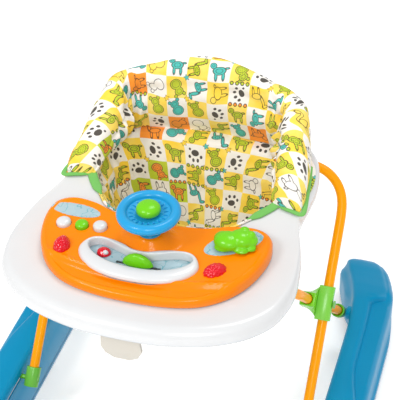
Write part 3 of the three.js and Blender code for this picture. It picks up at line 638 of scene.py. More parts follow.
def even_loop(dense, count):
    lengths = [0.0]
    for a, b in zip(dense, dense[1:] + dense[:1]):
        lengths.append(lengths[-1] + (b - a).length)
    result, k = [], 0
    for i in range(count):
        wanted = lengths[-1] * i / count
        while lengths[k + 1] < wanted:
            k += 1
        share = (wanted - lengths[k]) / max(lengths[k + 1] - lengths[k], 1e-9)
        result.append(dense[k].lerp(dense[(k + 1) % len(dense)], share))
    return result


def mirrored(half):
    return half + [(-x, y) for x, y in half[-2:0:-1]]


# seen from above, in mm from the scissor pivot
TRAY_OUTLINE = mirrored([
    (0, -290), (50, -288), (90, -281), (130, -268), (166, -247), (194, -216), (206, -183), (210, -150),
    (207, -118), (201, -84), (188, -42), (183, -12), (187, 32), (189, 68), (184, 104), (168, 146),
    (134, 172), (72, 184), (0, 187),
])
OPENING = mirrored([
    (0, -74), (50, -73), (88, -62), (112, -36), (138, 0), (154, 36), (156, 72), (146, 102),
    (112, 118), (60, 123), (0, 124),
])
PANEL_OUTLINE = mirrored([
    (0, -243), (50, -240), (94, -229), (124, -209), (146, -181), (160, -146), (165, -112), (159, -86),
    (138, -74), (106, -77), (72, -88), (34, -93), (0, -94),
])
BEAN_OUTER = mirrored([
    (0, -222), (34, -219), (61, -209), (80, -193), (86, -175), (74, -156), (54, -151), (32, -156),
    (15, -164), (0, -166),
])
BEAN_INNER = mirrored([
    (0, -199), (30, -197), (54, -189), (70, -177), (74, -165), (64, -158), (48, -159), (28, -167),
    (12, -172), (0, -173),
])


def ease(value, low, high):
    t = min(1.0, max(0.0, (value - low) / (high - low)))
    return t * t * (3 - 2 * t)


# ---------------------------------------------------------------- tray
def tray_section(width, shallow):
    """Points across the shell, from the opening out to the lip and back inside: (distance, height) in mm."""
    def low(z):
        return z + (2.4 + 0.1 * z - z) * shallow
    outside = [(0, low(-6)), (0, 2), (0, 7), (0.8, 10), (2.6, 12.2), (6, 13.2)]
    for i in range(1, 6):
        share = i / 6
        dish = 1.6 * math.sin(math.pi * share) * ease(width, 60, 160)
        outside.append((6 + (width - 28) * share, 13.2 - dish))
    outside += [(width - 22, 13.6), (width - 15, 14), (width - 10, 13), (width - 6, 10.6), (width - 3, 7.4),
                (width - 1, 3.4), (width - 0.2, low(-1)), (width - 0.3, low(-6)), (width - 1, low(-9.5)),
                (width - 2.2, low(-12))]
    inside = [(width - 4.8, low(-12)), (width - 4.2, low(-7)), (width - 3.2, low(-1)), (width - 5, 4.4),
              (width - 9, 8.2), (width - 15.5, 11), (7, 10), (4, 8.6), (3, 6), (3, low(-6))]
    return outside + inside


def add_tray_shell():
    count = 200
    outer = smooth_loop(TRAY_OUTLINE, count)
    inner = smooth_loop(OPENING, count)
    vertices = []
    for a, b in zip(inner, outer):
        across = b - a
        width = across.length
        across.normalize()
        section = tray_section(width, ease(b.y, 60, 96))
        for distance, height in section:
            place = a + across * distance
            vertices.append(on_tray(place.x, place.y) + Vector((0, 0, TRAY_EDGE + height * MM)))
    piece = new_piece("tray_shell_fine", vertices, grid_faces(count, len(section), close_rows=True))
    subdivide(piece)
    return finish_piece(piece, "tray_shell", "white_plastic")


# ---------------------------------------------------------------- toy panel
def panel_relief(x, y):
    """The panel's height in mm above its flat top: the column's mound, a low front apron and small rims."""
    column = math.hypot(x - COLUMN.x / MM, y - (COLUMN.y - PIVOT_Y) / MM)
    side = ease(abs(x), 4, 40) * ease(y, -170, -130)
    mound = 16 * (1 - ease(column, 15, 33 + 16 * side))
    swoosh = -176 - 38 * math.sqrt(max(0.0, 1 - (x / 150) ** 2))
    apron = -6.5 * (1 - ease(y, swoosh - 6, swoosh + 3))
    ridge = 2.0 * math.exp(-((y - swoosh - 4) / 2.6) ** 2) * (1 - ease(abs(x), 118, 140))
    wing = 1.4 * ease(abs(x), 60, 105)
    return mound + apron + ridge + wing


RAY_POINTS = 900  # on an outline that rays are met with


def bean_loop(points):
    """One of the window's outlines, at the window's own place across the panel."""
    return [Vector((p.x + BEZEL.x / MM, p.y)) for p in smooth_loop(points, RAY_POINTS)]


def add_toy_panel():
    count, rows = 220, 46
    outer = smooth_loop(PANEL_OUTLINE, RAY_POINTS)
    bean = bean_loop(BEAN_OUTER)
    centre = Vector((BEZEL.x / MM, -190))
    outer_ray = ray_table(outer, centre, count)
    inner_ray = ray_table([p + (centre - p).normalized() * 4 for p in bean], centre, count)
    vertices = []
    for i in range(rows):
        share = i / (rows - 1)
        for far, near in zip(outer_ray, inner_ray):
            place = near.lerp(far, share)
            edge = (far - place).length
            rounding = -7 * (1 - math.sqrt(max(0.0, 1 - (1 - min(edge / 7, 1)) ** 2)))
            rim = 1.1 * math.exp(-((edge - 8) / 2.2) ** 2)
            top = PANEL_TOP + (panel_relief(place.x, place.y) + rounding + rim) * MM
            vertices.append(on_tray(place.x, place.y) + Vector((0, 0, top)))
    for far in outer_ray:
        vertices.append(on_tray(far.x, far.y) + Vector((0, 0, PANEL_BASE)))
    piece = new_piece("toy_panel_fine", vertices, grid_faces(rows + 1, count))
    modify(piece, "SOLIDIFY", thickness=2 * MM, offset=-1)
    cutters = [drill(node, 0.5 * MM) for node in ("button_outer", "button_middle", "button_inner")]
    cutters.append(drill("steering_column", 0.5 * MM, radius=10.5 * MM))
    cut_out(piece, cutters)
    smooth_by_angle(piece, 35)
    return finish_piece(piece, "toy_panel", "orange_plastic")


def ray_table(loop, centre, count):
    """Where rays from centre, evenly spread, meet a loop that each ray crosses once."""
    by_angle = sorted((math.atan2(p.y - centre.y, p.x - centre.x), p) for p in loop)
    angles = [a for a, _ in by_angle]
    result, k = [], 0
    for i in range(count):
        wanted = -math.pi + 2 * math.pi * (i + 0.5) / count
        while k < len(angles) - 1 and angles[k] < wanted:
            k += 1
        result.append(by_angle[k][1].copy())
    return result


def drill(node, clearance, radius=None):
    """An upright cylinder round a CAD part, to cut its hole."""
    low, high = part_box(node)
    radius = (radius or (high.x - low.x) / 2) + clearance
    centre = (low + high) / 2
    sides, reach = 40, 40 * MM
    ring = [Vector((radius * math.cos(turn), radius * math.sin(turn), 0)) for turn in turns(sides)]
    vertices = [centre + p + Vector((0, 0, z)) for z in (-reach, reach) for p in ring]
    return new_piece("drill_" + node, vertices, capped_faces(2, sides), smooth=False)


def add_bezel():
    count = 160
    centre = Vector((BEZEL.x / MM, -184))
    far = ray_table(bean_loop(BEAN_OUTER), centre, count)
    near = ray_table(bean_loop(BEAN_INNER), centre, count)
    low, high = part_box("window_bezel")
    rise = high.z - PANEL_TOP
    vertices = []
    section = [(0.0, -0.35), (0.0, 0.3), (0.03, 0.62), (0.1, 0.85), (0.25, 0.98), (0.45, 1.0), (0.7, 0.92),
               (0.88, 0.72), (0.97, 0.45), (1.0, -0.05), (0.94, -0.25)]
    for a, b in zip(near, far):
        for share, height in section:
            place = a.lerp(b, share)
            vertices.append(on_tray(place.x, place.y) + Vector((0, 0, PANEL_TOP + height * rise)))
        vertices.append(on_tray(a.x, a.y) + Vector((0, 0, low.z)))
    piece = new_piece("window_bezel_fine", vertices, grid_faces(count, len(section) + 1, close_rows=True))
    subdivide(piece)
    return finish_piece(piece, "window_bezel", "white_plastic")


# ---------------------------------------------------------------- toys
def lathe_piece(name, profile, centre, sides=160, shape=None):
    """Turns (radius, height) points in metres about an upright axis; shape may move each point."""
    vertices = []
    for radius, height in profile:
        for turn in turns(sides):
            point = Vector((radius * math.cos(turn), radius * math.sin(turn), height))
            if shape:
                point = shape(point, turn)
            vertices.append(centre + point)
    return new_piece(name, vertices, grid_faces(len(profile), sides))


def arc(radius, centre_r, centre_z, start, end, steps):
    """Points (r, z) on an arc between two angles in degrees."""
    angles = [math.radians(start + (end - start) * i / steps) for i in range(steps + 1)]
    return [(centre_r + radius * math.cos(angle), centre_z + radius * math.sin(angle)) for angle in angles]


def add_steering_wheel():
    low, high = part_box("steering_wheel")
    centre = (low + high) / 2
    r = (high.x - low.x) / 2
    half = (high.z - low.z) / 2
    rim = r * 0.165
    web = half * 0.1
    hub, axis, foot = 5.5 * MM, 0.2 * MM, -half * 0.96
    profile = [(axis, web), (hub, web), (r * 0.40, web)]
    for i in range(1, 15):
        rise = half * 0.28 * math.sin(math.pi * i / 28)
        profile.append((r * 0.40 + (r * 0.27) * i / 14, web + rise))
    profile += arc(rim, r - rim, half * 0.28, 168, -165, 22)
    profile += [(r * 0.62, -half * 0.1), (r * 0.5, -half * 0.35), (r * 0.46, foot), (hub, foot), (axis, foot)]

    def slots(point, turn):
        """A ring of narrow slots in the web, round the cap."""
        reach = math.hypot(point.x, point.y)
        wave = math.cos(turn * 20)
        if point.z > 0 and r * 0.44 < reach < r * 0.64 and wave > 0.35:
            inner, outer = ease(reach, r * 0.44, r * 0.49), 1 - ease(reach, r * 0.58, r * 0.63)
            depth = ease(wave, 0.35, 0.75) * inner * outer
            point.z -= depth * 2.4 * MM
        return point

    piece = lathe_piece("steering_wheel_fine", profile, centre, sides=400, shape=slots)
    smooth_by_angle(piece, 50)
    return finish_piece(piece, "steering_wheel", "toy_blue")


def add_dome(node, material, shoulder=0.18, crown=0.5):
    """A domed cap or push button with a soft shoulder."""
    low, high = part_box(node)
    centre = Vector(((low.x + high.x) / 2, (low.y + high.y) / 2, low.z))
    r = (high.x - low.x) / 2
    tall = high.z - low.z
    dome = r * crown
    edge = tall - dome
    profile = [(0.0001, 0), (r * 0.98, 0), (r, 0.3 * MM), (r, edge)]
    for i in range(1, 17):
        turn = math.pi / 2 * i / 16
        radius = max(r * math.cos(turn) ** (1 - shoulder), 0.0001)
        profile.append((radius, edge + dome * math.sin(turn)))
    piece = lathe_piece(node + "_fine", profile, centre, sides=64)
    smooth_by_angle(piece, 50)
    return finish_piece(piece, node, material)


def direction(lift, turn):
    """A unit vector at one angle above the level and another round it."""
    return Vector((math.cos(lift) * math.cos(turn), math.cos(lift) * math.sin(turn), math.sin(lift)))


def add_berry(side, is_strawberry):
    """A berry-shaped light lens, with the bumps of a raspberry or the pits and tip of a strawberry."""
    node = f"berry_light_{side}"
    low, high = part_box(node)
    centre = Vector(((low.x + high.x) / 2, (low.y + high.y) / 2, PANEL_TOP + 0.2 * MM))
    rx, ry = (high.x - low.x) / 2, (high.y - low.y) / 2
    rz = (high.z - PANEL_TOP) * (2.0 if is_strawberry else 1.6)
    longer = 1.22 if is_strawberry else 1.0
    vertices = []
    rows, columns = 36, 96
    seeds = [fibonacci(i, 90) for i in range(45)]
    for i in range(rows):
        lift = math.pi / 2 * i / (rows - 1)
        for turn in turns(columns):
            way = direction(lift, turn)
            nearest = min((way - seed).length for seed in seeds)
            if is_strawberry:
                grow = 1 - 0.10 * math.exp(-(nearest / 0.07) ** 2)
                taper = 1 - 0.24 * max(0.0, math.sin(turn)) * math.cos(lift)
            else:
                grow = 0.90 + 0.17 * math.sqrt(max(0.0, 1 - (nearest / 0.26) ** 2))
                taper = 1.0
            point = Vector((way.x * rx * taper, way.y * ry * longer, way.z * rz)) * grow
            if not is_strawberry:
                point.rotate(Euler((0, 0, 0.75)))
            vertices.append(centre + point)
    base = Vector((0, 0, -4 * MM))
    vertices += [v + base for v in vertices[:columns]]
    faces = grid_faces(rows, columns)
    start = rows * columns
    faces += [(start + j, start + (j + 1) % columns, (j + 1) % columns, j) for j in range(columns)]
    piece = new_piece(node + "_fine", vertices, faces)
    smooth_by_angle(piece, 70)
    return finish_piece(piece, node, "red_lens")


def ball(centre, radii, rows=14, columns=20):
    """An ellipsoid's vertices and faces, for a lump that a remesh will run into its neighbours."""
    vertices = []
    for i in range(rows):
        lift = -math.pi / 2 + math.pi * (i + 0.5) / rows
        for turn in turns(columns):
            way = direction(lift, turn)
            vertices.append(Vector(centre) + Vector([way[k] * radii[k] for k in range(3)]))
    return vertices, capped_faces(rows, columns)


FROG_CLEARANCE = 3.4 * MM  # under the frog, so that it can be pressed without meeting the panel
# a squatting frog, head to the right: the place and the three radii of each lump, in mm
FROG_LUMPS = (
    ((-9, -3, 8), (20, 17, 12)), ((-17, 4, 5), (14, 13, 9)), ((8, 4, 10), (18, 16, 12)),
    ((17, 6, 8), (14, 13, 9)), ((10, 14, 16), (7.5, 7, 6.5)), ((20, 8, 15.5), (7.5, 7, 6.5)),
    ((-14, -13, 3), (12, 7, 5)), ((11, -11, 3), (11, 7, 5)), ((23, -3, 3), (8, 7, 4)),
)


def add_frog():
    middle_of_key = Vector((middle("frog_key").x - 1 * MM, middle("frog_key").y, PANEL_TOP + 3 * MM))
    vertices, faces = [], []
    for place, radii in FROG_LUMPS:
        more, sides = ball(Vector(place) * MM, [r * MM for r in radii])
        faces += [tuple(len(vertices) + k for k in side) for side in sides]
        vertices += [middle_of_key + v for v in more]
    piece = new_piece("frog_fine", vertices, faces)
    melt(piece, 1.0 * MM, 8)
    for vertex in piece.data.vertices:
        local = (vertex.co - middle_of_key) / MM
        lip = math.exp(-((local.z - 7 + 0.12 * local.x) / 1.0) ** 2) * ease(local.x, 2, 14)
        vertex.co -= (vertex.co - middle_of_key).normalized() * (0.9 * MM * lip)
        relief = panel_relief(vertex.co.x / MM, (vertex.co.y - PIVOT_Y) / MM) * MM
        vertex.co.z = max(vertex.co.z, PANEL_TOP + relief + FROG_CLEARANCE)
    smooth_by_angle(piece, 60)
    return finish_piece(piece, "frog_key", "green_plastic")


def resize(piece, scale, lift=0.0, forward=0.0):
    """Scales a piece about the middle of its base, then lifts it and brings it forward."""
    places = [v.co.copy() for v in piece.data.vertices]
    low = Vector([min(p[k] for p in places) for k in range(3)])
    high = Vector([max(p[k] for p in places) for k in range(3)])
    base = Vector(((low.x + high.x) / 2, (low.y + high.y) / 2, low.z))
    for vertex in piece.data.vertices:
        offset = vertex.co - base
        grown = Vector((offset.x * scale[0], offset.y * scale[1], offset.z * scale[2]))
        vertex.co = base + grown + Vector((0, -forward, lift))


def spread_base(piece):
    """Draws a lump out sideways at its foot, so that it looks like a hill."""
    heights = [v.co.z for v in piece.data.vertices]
    low, high = min(heights), max(heights)
    centre = middle("hill_slider").x
    for vertex in piece.data.vertices:
        share = (vertex.co.z - low) / (high - low)
        vertex.co.x = centre + (vertex.co.x - centre) * (1.24 - 0.24 * share)


def add_window_toys():
    """The picture floor of the window, the hill that slides over it and the ladybird on it."""
    lift = 3 * MM
    floor = rounded_copy("window_floor", "picture_label", width=0.3 * MM)
    resize(floor, (1, 1, 1), lift)
    hill = melted_copy("hill_slider", "green_plastic", 0.8 * MM, 6)
    resize(hill, (1.0, 1.12, 1.45), lift, forward=1.5 * MM)
    spread_base(hill)
    ladybird = melted_copy("window_ladybird", "red_lens", 0.6 * MM, 4)
    resize(ladybird, (1.2, 1.2, 1.2), lift)
    face_place = middle("window_ladybird") + Vector((4.0, -3.6, 4.6)) * MM
    vertices, faces = ball(Vector((0, 0, 0)), (4.2 * MM, 3.4 * MM, 3.2 * MM))
    face = new_piece("ladybird_face", [face_place + v for v in vertices], faces)
    smooth_by_angle(face, 60)
    body = frame["nodes"]["window_ladybird"]["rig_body"]
    finish_piece(face, None, "white_plastic", body=body)


def add_latch():
    lever = rounded_copy("latch_lever", "cream_plastic", width=1.5 * MM)
    top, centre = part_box("latch_lever")[1].z, middle("latch_lever").x
    for vertex in lever.data.vertices:
        wider = 1 + 0.12 * ease((top - vertex.co.z) / MM, 24, 36)
        vertex.co.x = centre + (vertex.co.x - centre) * wider


def add_rear_axle(side):
    """The rear wheel's axle, ending inside the rail's outer wall."""
    node = f"rear_axle_{side}"
    piece = rounded_copy(node, "steel", width=0.4 * MM)
    limit = (station_at((middle(node).y) / MM)[1] - 2) * MM
    for vertex in piece.data.vertices:
        vertex.co.x = max(-limit, min(limit, vertex.co.x))
    return piece


def add_inner_clamp(side):
    """The inner clamp: full height against the outer clamp, drawn in to the tube's sleeve at its far side."""
    node = f"inner_clamp_{side}"
    piece = copy_of(node)
    melt(piece, 0.9 * MM, 2)
    low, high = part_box(node)
    near, far = sorted((abs(low.x), abs(high.x)))
    pivot = middle(f"pivot_rivet_{side}")
    along = pivot - middle(f"rear_foot_pin_{side}")
    along = Vector((0, along.y, along.z)).normalized()
    sleeve = 10.6 * MM
    for vertex in piece.data.vertices:
        offset = Vector((0, vertex.co.y - pivot.y, vertex.co.z - pivot.z))
        away = offset - along * offset.dot(along)
        share = (abs(vertex.co.x) - near) / (far - near)
        if away.length > sleeve:
            keep = 0.10 + 0.90 * max(0.0, min(1.0, share)) ** 2.4
            vertex.co -= away.normalized() * ((away.length - sleeve) * (1 - keep))
    smooth_by_angle(piece, 50)
    return finish_piece(piece, node, "green_plastic")


def fibonacci(i, count):
    height = 1 - (i + 0.5) * 2 / count
    turn = i * math.pi * (3 - math.sqrt(5))
    radius = math.sqrt(1 - height * height)
    return Vector((radius * math.cos(turn), radius * math.sin(turn), height))


def add_label(side):
    """A picture label that follows the panel's relief."""
    node = f"picture_label_{side}"
    source = copy_of(node)
    melt(source, 1.2 * MM)
    for vertex in source.data.vertices:
        x, y = vertex.co.x / MM, (vertex.co.y - PIVOT_Y) / MM
        above = vertex.co.z - PANEL_TOP
        vertex.co.z = PANEL_TOP + (panel_relief(x, y) + 0.1) * MM + max(0.0, above) * 0.5
    smooth_by_angle(source, 60)
    return finish_piece(source, node, "picture_label")


# ---------------------------------------------------------------- base
# along the rail, in mm: y, inner edge, outer edge, top
RAIL_STATIONS = (
    (-262, 240, 302, 98), (-200, 240, 302, 101), (-60, 240, 302, 102), (120, 240, 302, 102),
    (185, 235, 302, 102), (225, 226, 299, 95), (258, 216, 291, 87), (285, 207, 282, 81),
    (304, 203, 272, 75), (315, 210, 260, 68), (320, 226, 250, 60),
)
STEP_END = 206  # where the step along the rail's top turns out to its side, near the rear


def station_at(y):
    """The rail's inner edge, outer edge and top at y, eased between its stations, in mm."""
    rows = RAIL_STATIONS
    for i in range(len(rows) - 1):
        if y <= rows[i + 1][0]:
            break
    t = (y - rows[i][0]) / (rows[i + 1][0] - rows[i][0])
    before, after = rows[max(i - 1, 0)], rows[min(i + 2, len(rows) - 1)]
    values = []
    for k in (1, 2, 3):
        values.append(spline(before[k], rows[i][k], rows[i + 1][k], after[k], t))
    return values


def rail_section(y):
    """Points across the rail's outside in mm, from the inner wall's foot over the top to the outer flange."""
    inner, outer, top = station_at(y)
    width = outer - inner
    k = min(1.0, width / 62)
    stepped = 1 - ease(y, STEP_END - 6, STEP_END + 14)
    drop = 13 * stepped + 5 * (1 - stepped) * ease(y, 150, 200)
    flange = 4 * (1 - ease(y, 150, 240))
    ridge = inner + (0.46 + 0.34 * ease(y, STEP_END - 24, STEP_END) + 0.36 * ease(-y, -50, 85)) * width
    belly = 12 * (ease(y, 180, 230) - ease(y, 285, 315))
    shoulder = min(ridge + 8 * k, outer - 9 * k)
    return [(inner - belly, 14), (inner - belly, top - 42), (inner - belly, top - 30),
            (inner - 0.85 * belly, top - 23), (inner - 0.4 * belly, top - 17),
            (inner - 0.08 * belly, top - 12), (inner + 0.8 * k, top - 6), (inner + 2.6 * k, top - 2.8),
            (inner + 5.6 * k, top - 0.8), (inner + 9.5 * k, top), (inner + 0.35 * width, top + 0.6),
            (ridge - 5 * k, top), (ridge - 1.5 * k, top - 0.6 - 0.1 * drop),
            (ridge + 1.5 * k, top - 0.5 * drop), (ridge + 3.5 * k, top - 0.9 * drop),
            (shoulder, top - drop), (outer - 6.5 * k, top - drop - 1.5),
            (outer - 3 * k, top - drop - 5), (outer - 0.8 * k, top - drop - 10), (outer, top - drop - 18),
            (outer, 34), (outer + 0.4 * flange, 30), (outer + flange, 27), (outer + flange, 14)]


def add_rail(side):
    sign = SIDES[side]
    node = f"base_rail_{side}"
    ys = list(range(-262, 256, 4)) + list(range(256, 299, 6))
    ys += [303, 308, 312, 316, 318.5, 320]  # closer together where the end rounds off
    vertices = []
    for y in ys:
        section = rail_section(y)
        vertices += [Vector((sign * x * MM, y * MM, z * MM)) for x, z in section]
    size = len(section)
    faces = grid_faces(len(ys), size, close_columns=False)
    last = (len(ys) - 1) * size
    faces.append(tuple(range(last, last + size)))
    faces.append(tuple(range(size)))
    piece = new_piece(node + "_fine", vertices, faces)
    modify(piece, "SOLIDIFY", thickness=3 * MM, offset=-1)
    cut_out(piece, [slot_cutter(sign)])
    smooth_by_angle(piece, 38)
    return finish_piece(piece, node, "blue_plastic")


def add_rear_boss(side):
    """The boss on the rail's inner wall that the rear foot's pin turns in."""
    sign = SIDES[side]
    pin = middle(f"rear_foot_pin_{side}")
    profile = [(0.0044, 0.2305), (0.0075, 0.2305), (0.0095, 0.2312), (0.0105, 0.2330), (0.0118, 0.2390),
               (0.0150, 0.2440)]
    sides = 40
    vertices = []
    for radius, x in profile:
        for turn in turns(sides):
            y, z = pin.y + radius * math.cos(turn), pin.z + radius * math.sin(turn)
            vertices.append(Vector((sign * x, y, z)))
    piece = new_piece(f"rear_boss_{side}", vertices, grid_faces(len(profile), sides))
    modify(piece, "SOLIDIFY", thickness=1.2 * MM, offset=0)
    bake(piece)
    smooth_by_angle(piece, 50)
    return finish_piece(piece, None, "blue_plastic", body="base")


def slot_cutter(sign):
    """The slot in the rail's inner wall that the front foot's pin slides along."""
    cap = middle("front_foot_pin_right")
    low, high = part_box("front_foot_pin_right")
    pin = (high.z - low.z) / 2 * 0.83
    sides = 24
    ring = []
    for turn in turns(sides):
        shift = -FOOT_TRAVEL if math.cos(turn) < 0 else 0
        ring.append((cap.y + shift + pin * math.cos(turn), cap.z + pin * math.sin(turn)))
    inner = 0.230
    vertices = [Vector((sign * x, y, z)) for x in (inner, inner + 20 * MM) for y, z in ring]
    return new_piece("slot_cutter", vertices, capped_faces(2, sides), smooth=False)


# ---------------------------------------------------------------- fabric seat
def grid_piece(name, rows, close_columns, uv_rows):
    """A cloth sheet from rows of points, with its cloth UVs in metres."""
    columns = len(rows[0])
    mesh = bpy.data.meshes.new(name)
    faces = grid_faces(len(rows), columns, close_columns=close_columns)
    mesh.from_pydata([tuple(p) for row in rows for p in row], [], faces)
    layer = mesh.uv_layers.new(name="cloth")
    flat = [uv for row in uv_rows for uv in row]
    for polygon in mesh.polygons:
        indices = list(polygon.vertices)
        places = [i % columns for i in indices]
        wraps = close_columns and max(places) - min(places) > columns / 2
        for loop_index, vertex in zip(polygon.loop_indices, indices):
            u, v = flat[vertex]
            if wraps and vertex % columns == 0:
                u = 2 * flat[vertex + columns - 1][0] - flat[vertex + columns - 2][0]
            layer.data[loop_index].uv = (u, v)
    smooth_all(mesh)
    return add_object(name, mesh)


def smooth_path(points, steps):
    """An open curve through points, as evenly spaced (point, distance along it) pairs, and its length."""
    dense = []
    last = len(points) - 1
    for i in range(last):
        p0, p1, p2, p3 = (Vector(points[min(max(i + k, 0), last)]) for k in (-1, 0, 1, 2))
        dense += [spline(p0, p1, p2, p3, step / CURVE_STEPS) for step in range(CURVE_STEPS)]
    dense.append(Vector(points[-1]))
    lengths = [0.0]
    for a, b in zip(dense, dense[1:]):
        lengths.append(lengths[-1] + (b - a).length)
    result, k = [], 0
    for i in range(steps):
        wanted = lengths[-1] * i / (steps - 1)
        while k < len(dense) - 2 and lengths[k + 1] < wanted:
            k += 1
        share = (wanted - lengths[k]) / max(lengths[k + 1] - lengths[k], 1e-9)
        result.append((dense[k].lerp(dense[k + 1], min(share, 1.0)), wanted))
    return result, lengths[-1]


# half of the pad's outer line on the tray: x, y and the pad's top there, in mm
BACK_PATH = [
    (182, -8, 36), (178, 30, 54), (173, 66, 73), (167, 100, 92), (156, 132, 111), (130, 153, 118),
    (98, 165, 124), (52, 174, 136), (0, 177, 142),
]
PAD_SIDES = 60


def wrinkle(along, up, corner):
    """The folds of the quilted cover: fine puckers everywhere, deeper gathers towards the corners."""
    warp = noise.noise(Vector((along * 9, up * 9, 3.1))) * 0.02
    gather = math.sin((along + warp + up * 0.35) * 2 * math.pi / 0.030) * 7.0 * corner
    broad = noise.noise(Vector((along * 17, up * 13, 0.7))) * 4.2
    fine = noise.noise(Vector((along * 46, up * 34, 5.0))) * (1.4 + 2.2 * corner)
    return (gather + broad + fine) * MM


def pad_outline(low, top, thick):
    """Points round the pad's section as (depth from its outer face, height): outer face, roll, inner face."""
    roll = min(thick * 0.5, (top - low) * 0.5)
    tall = top - low
    outline = []
    for i in range(PAD_SIDES):
        t = i / PAD_SIDES
        if t < 0.32:
            share = t / 0.32
            outline.append((-2.5 * MM * math.sin(math.pi * share), low + (tall - roll) * share))
        elif t < 0.58:
            turn = math.pi * (t - 0.32) / 0.26
            outline.append((thick / 2 - thick / 2 * math.cos(turn), top - roll + roll * math.sin(turn)))
        elif t < 0.9:
            share = (t - 0.58) / 0.32
            seam = math.exp(-((share - 0.22) / 0.1) ** 2) * min(1.0, tall / 0.09)
            puff = math.sin(math.pi * min(1.0, share * 1.05)) * 0.10 * tall
            depth = thick - 9 * MM * seam * min(1.0, tall / 0.09) + puff
            outline.append((depth, top - roll - (tall - roll) * share))
        else:
            share = (t - 0.9) / 0.1
            outline.append((thick * (1 - share), low))
    return outline


def add_backrest():
    steps = 180
    whole = [(x * MM, PIVOT_Y + y * MM, TRAY_EDGE + top * MM) for x, y, top in BACK_PATH]
    whole += [(-x, y, z) for x, y, z in whole[-2::-1]]
    path, total = smooth_path(whole, steps)
    low = BACK_LOW.z
    rows, uvs = [], []
    for i, (base, along) in enumerate(path):
        ahead, behind = path[min(i + 1, steps - 1)][0], path[max(i - 1, 0)][0]
        tangent = Vector((ahead.x - behind.x, ahead.y - behind.y, 0)).normalized()
        inward = Vector((-tangent.y, tangent.x, 0))
        share = along / total
        corner = math.exp(-((min(share, 1 - share) - 0.23) / 0.09) ** 2)
        local_y = (base.y - PIVOT_Y) / MM
        thick = (44 - 14 * ease(local_y, 100, 165)) * MM
        hem = low + 11 * MM * noise.noise(Vector((along * 13, 0.4, 8.0)))
        outline = pad_outline(hem, base.z, thick)
        end = min(1.0, min(i, steps - 1 - i) / 8)
        close = math.sqrt(max(0.0, 1 - (1 - end) ** 2))
        away = tangent * (1 if i < steps / 2 else -1)
        girth, row, row_uv = 0.0, [], []
        for k, (depth, z) in enumerate(outline):
            inner = ease(k / PAD_SIDES, 0.5, 0.62) * (1 - ease(k / PAD_SIDES, 0.86, 0.92))
            fold = wrinkle(along, z, corner * inner * ease(base.z - z, 0, 0.04))
            depth = thick / 2 + (depth - thick / 2) * (0.72 + 0.28 * close)
            height = hem + (z - hem) * (0.10 + 0.90 * close)
            side = 1 if depth > thick / 2 else -1
            slant = away * (13 * MM * (1 - end) * depth / thick)
            row.append(Vector((base.x, base.y, height)) + inward * (depth + side * fold) + slant)
            if k:
                girth += (row[k] - row[k - 1]).length
            row_uv.append((along - total / 2, girth))
        seam = row_uv[int(PAD_SIDES * 0.9)][1]
        uvs.append([(u, seam - g) for u, g in row_uv])
        rows.append(row)
    piece = grid_piece("backrest_cover", rows, True, uvs)
    close_ends(piece)
    inflate(piece, 8 * MM)
    subdivide(piece)
    piece = finish_piece(piece, "backrest_pad", "seat_fabric")
    return piece


def close_ends(piece):
    def fill_holes(work):
        bmesh.ops.holes_fill(work, edges=[e for e in work.edges if e.is_boundary], sides=0)

    rework(piece, fill_holes, face_outward)
    smooth_all(piece.data)


def inflate(piece, limit):
    """Lets the stuffing push the cover out, and stops any point that moves further than limit."""
    before = [v.co.copy() for v in piece.data.vertices]
    group = piece.vertex_groups.new(name="held")
    for vertex in piece.data.vertices:
        place = vertex.index % PAD_SIDES / PAD_SIDES
        held = 1.0 if place < 0.04 or place > 0.86 else 0.0
        group.add([vertex.index], held, "REPLACE")
    sim = modify(piece, "CLOTH")
    sim.settings.vertex_group_mass = "held"
    sim.settings.use_pressure = True
    sim.settings.uniform_pressure_force = 3.0
    sim.settings.effector_weights.gravity = 0
    sim.settings.quality = 5
    sim.settings.tension_stiffness = 15
    sim.settings.compression_stiffness = 15
    sim.settings.bending_stiffness = 0.5
    scene = bpy.context.scene
    last_frame = 16
    for step in range(1, last_frame + 1):
        scene.frame_set(step)
    bake(piece)
    scene.frame_set(1)
    for vertex, start in zip(piece.data.vertices, before):
        moved = vertex.co - start
        if moved.length > limit:
            vertex.co = start + moved.normalized() * limit


# the leg holes: a tilted cylinder each, from a place below the tray, and its slope in radians
LEG_HOLE = {"radius": 37 * MM, "slope": 0.6, "x": 49 * MM, "y": -62 * MM, "z": -186 * MM}
SEAT_CENTRE = 28
# the bucket's levels: depth below the tray's edge in mm, scale of the opening, and y of its centre in mm
SEAT_LEVELS = ((-13, 0.975, 28), (-9, 0.955, 28), (10, 0.95, 28), (60, 0.89, 28), (120, 0.79, 27),
               (170, 0.67, 26), (205, 0.49, 25), (219, 0.25, 25), (221, 0.04, 25))


def seat_level(depth):
    rows = SEAT_LEVELS
    for i in range(len(rows) - 1):
        if depth <= rows[i + 1][0]:
            break
    t = (depth - rows[i][0]) / (rows[i + 1][0] - rows[i][0])
    return (rows[i][1] + (rows[i + 1][1] - rows[i][1]) * t, rows[i][2] + (rows[i + 1][2] - rows[i][2]) * t)


def in_leg_hole(point, grow=0.0):
    for sign in (-1, 1):
        start = Vector((sign * LEG_HOLE["x"], PIVOT_Y + LEG_HOLE["y"], TRAY_EDGE + LEG_HOLE["z"]))
        axis = Vector((0, math.cos(LEG_HOLE["slope"]), math.sin(LEG_HOLE["slope"])))
        away = point - start
        away -= axis * away.dot(axis)
        if away.length < LEG_HOLE["radius"] + grow and point.y < start.y + 0.06:
            return True
    return False


def open_leg_holes(work):
    holes = [f for f in work.faces if in_leg_hole(f.calc_center_median())]
    bmesh.ops.delete(work, geom=holes, context="FACES")


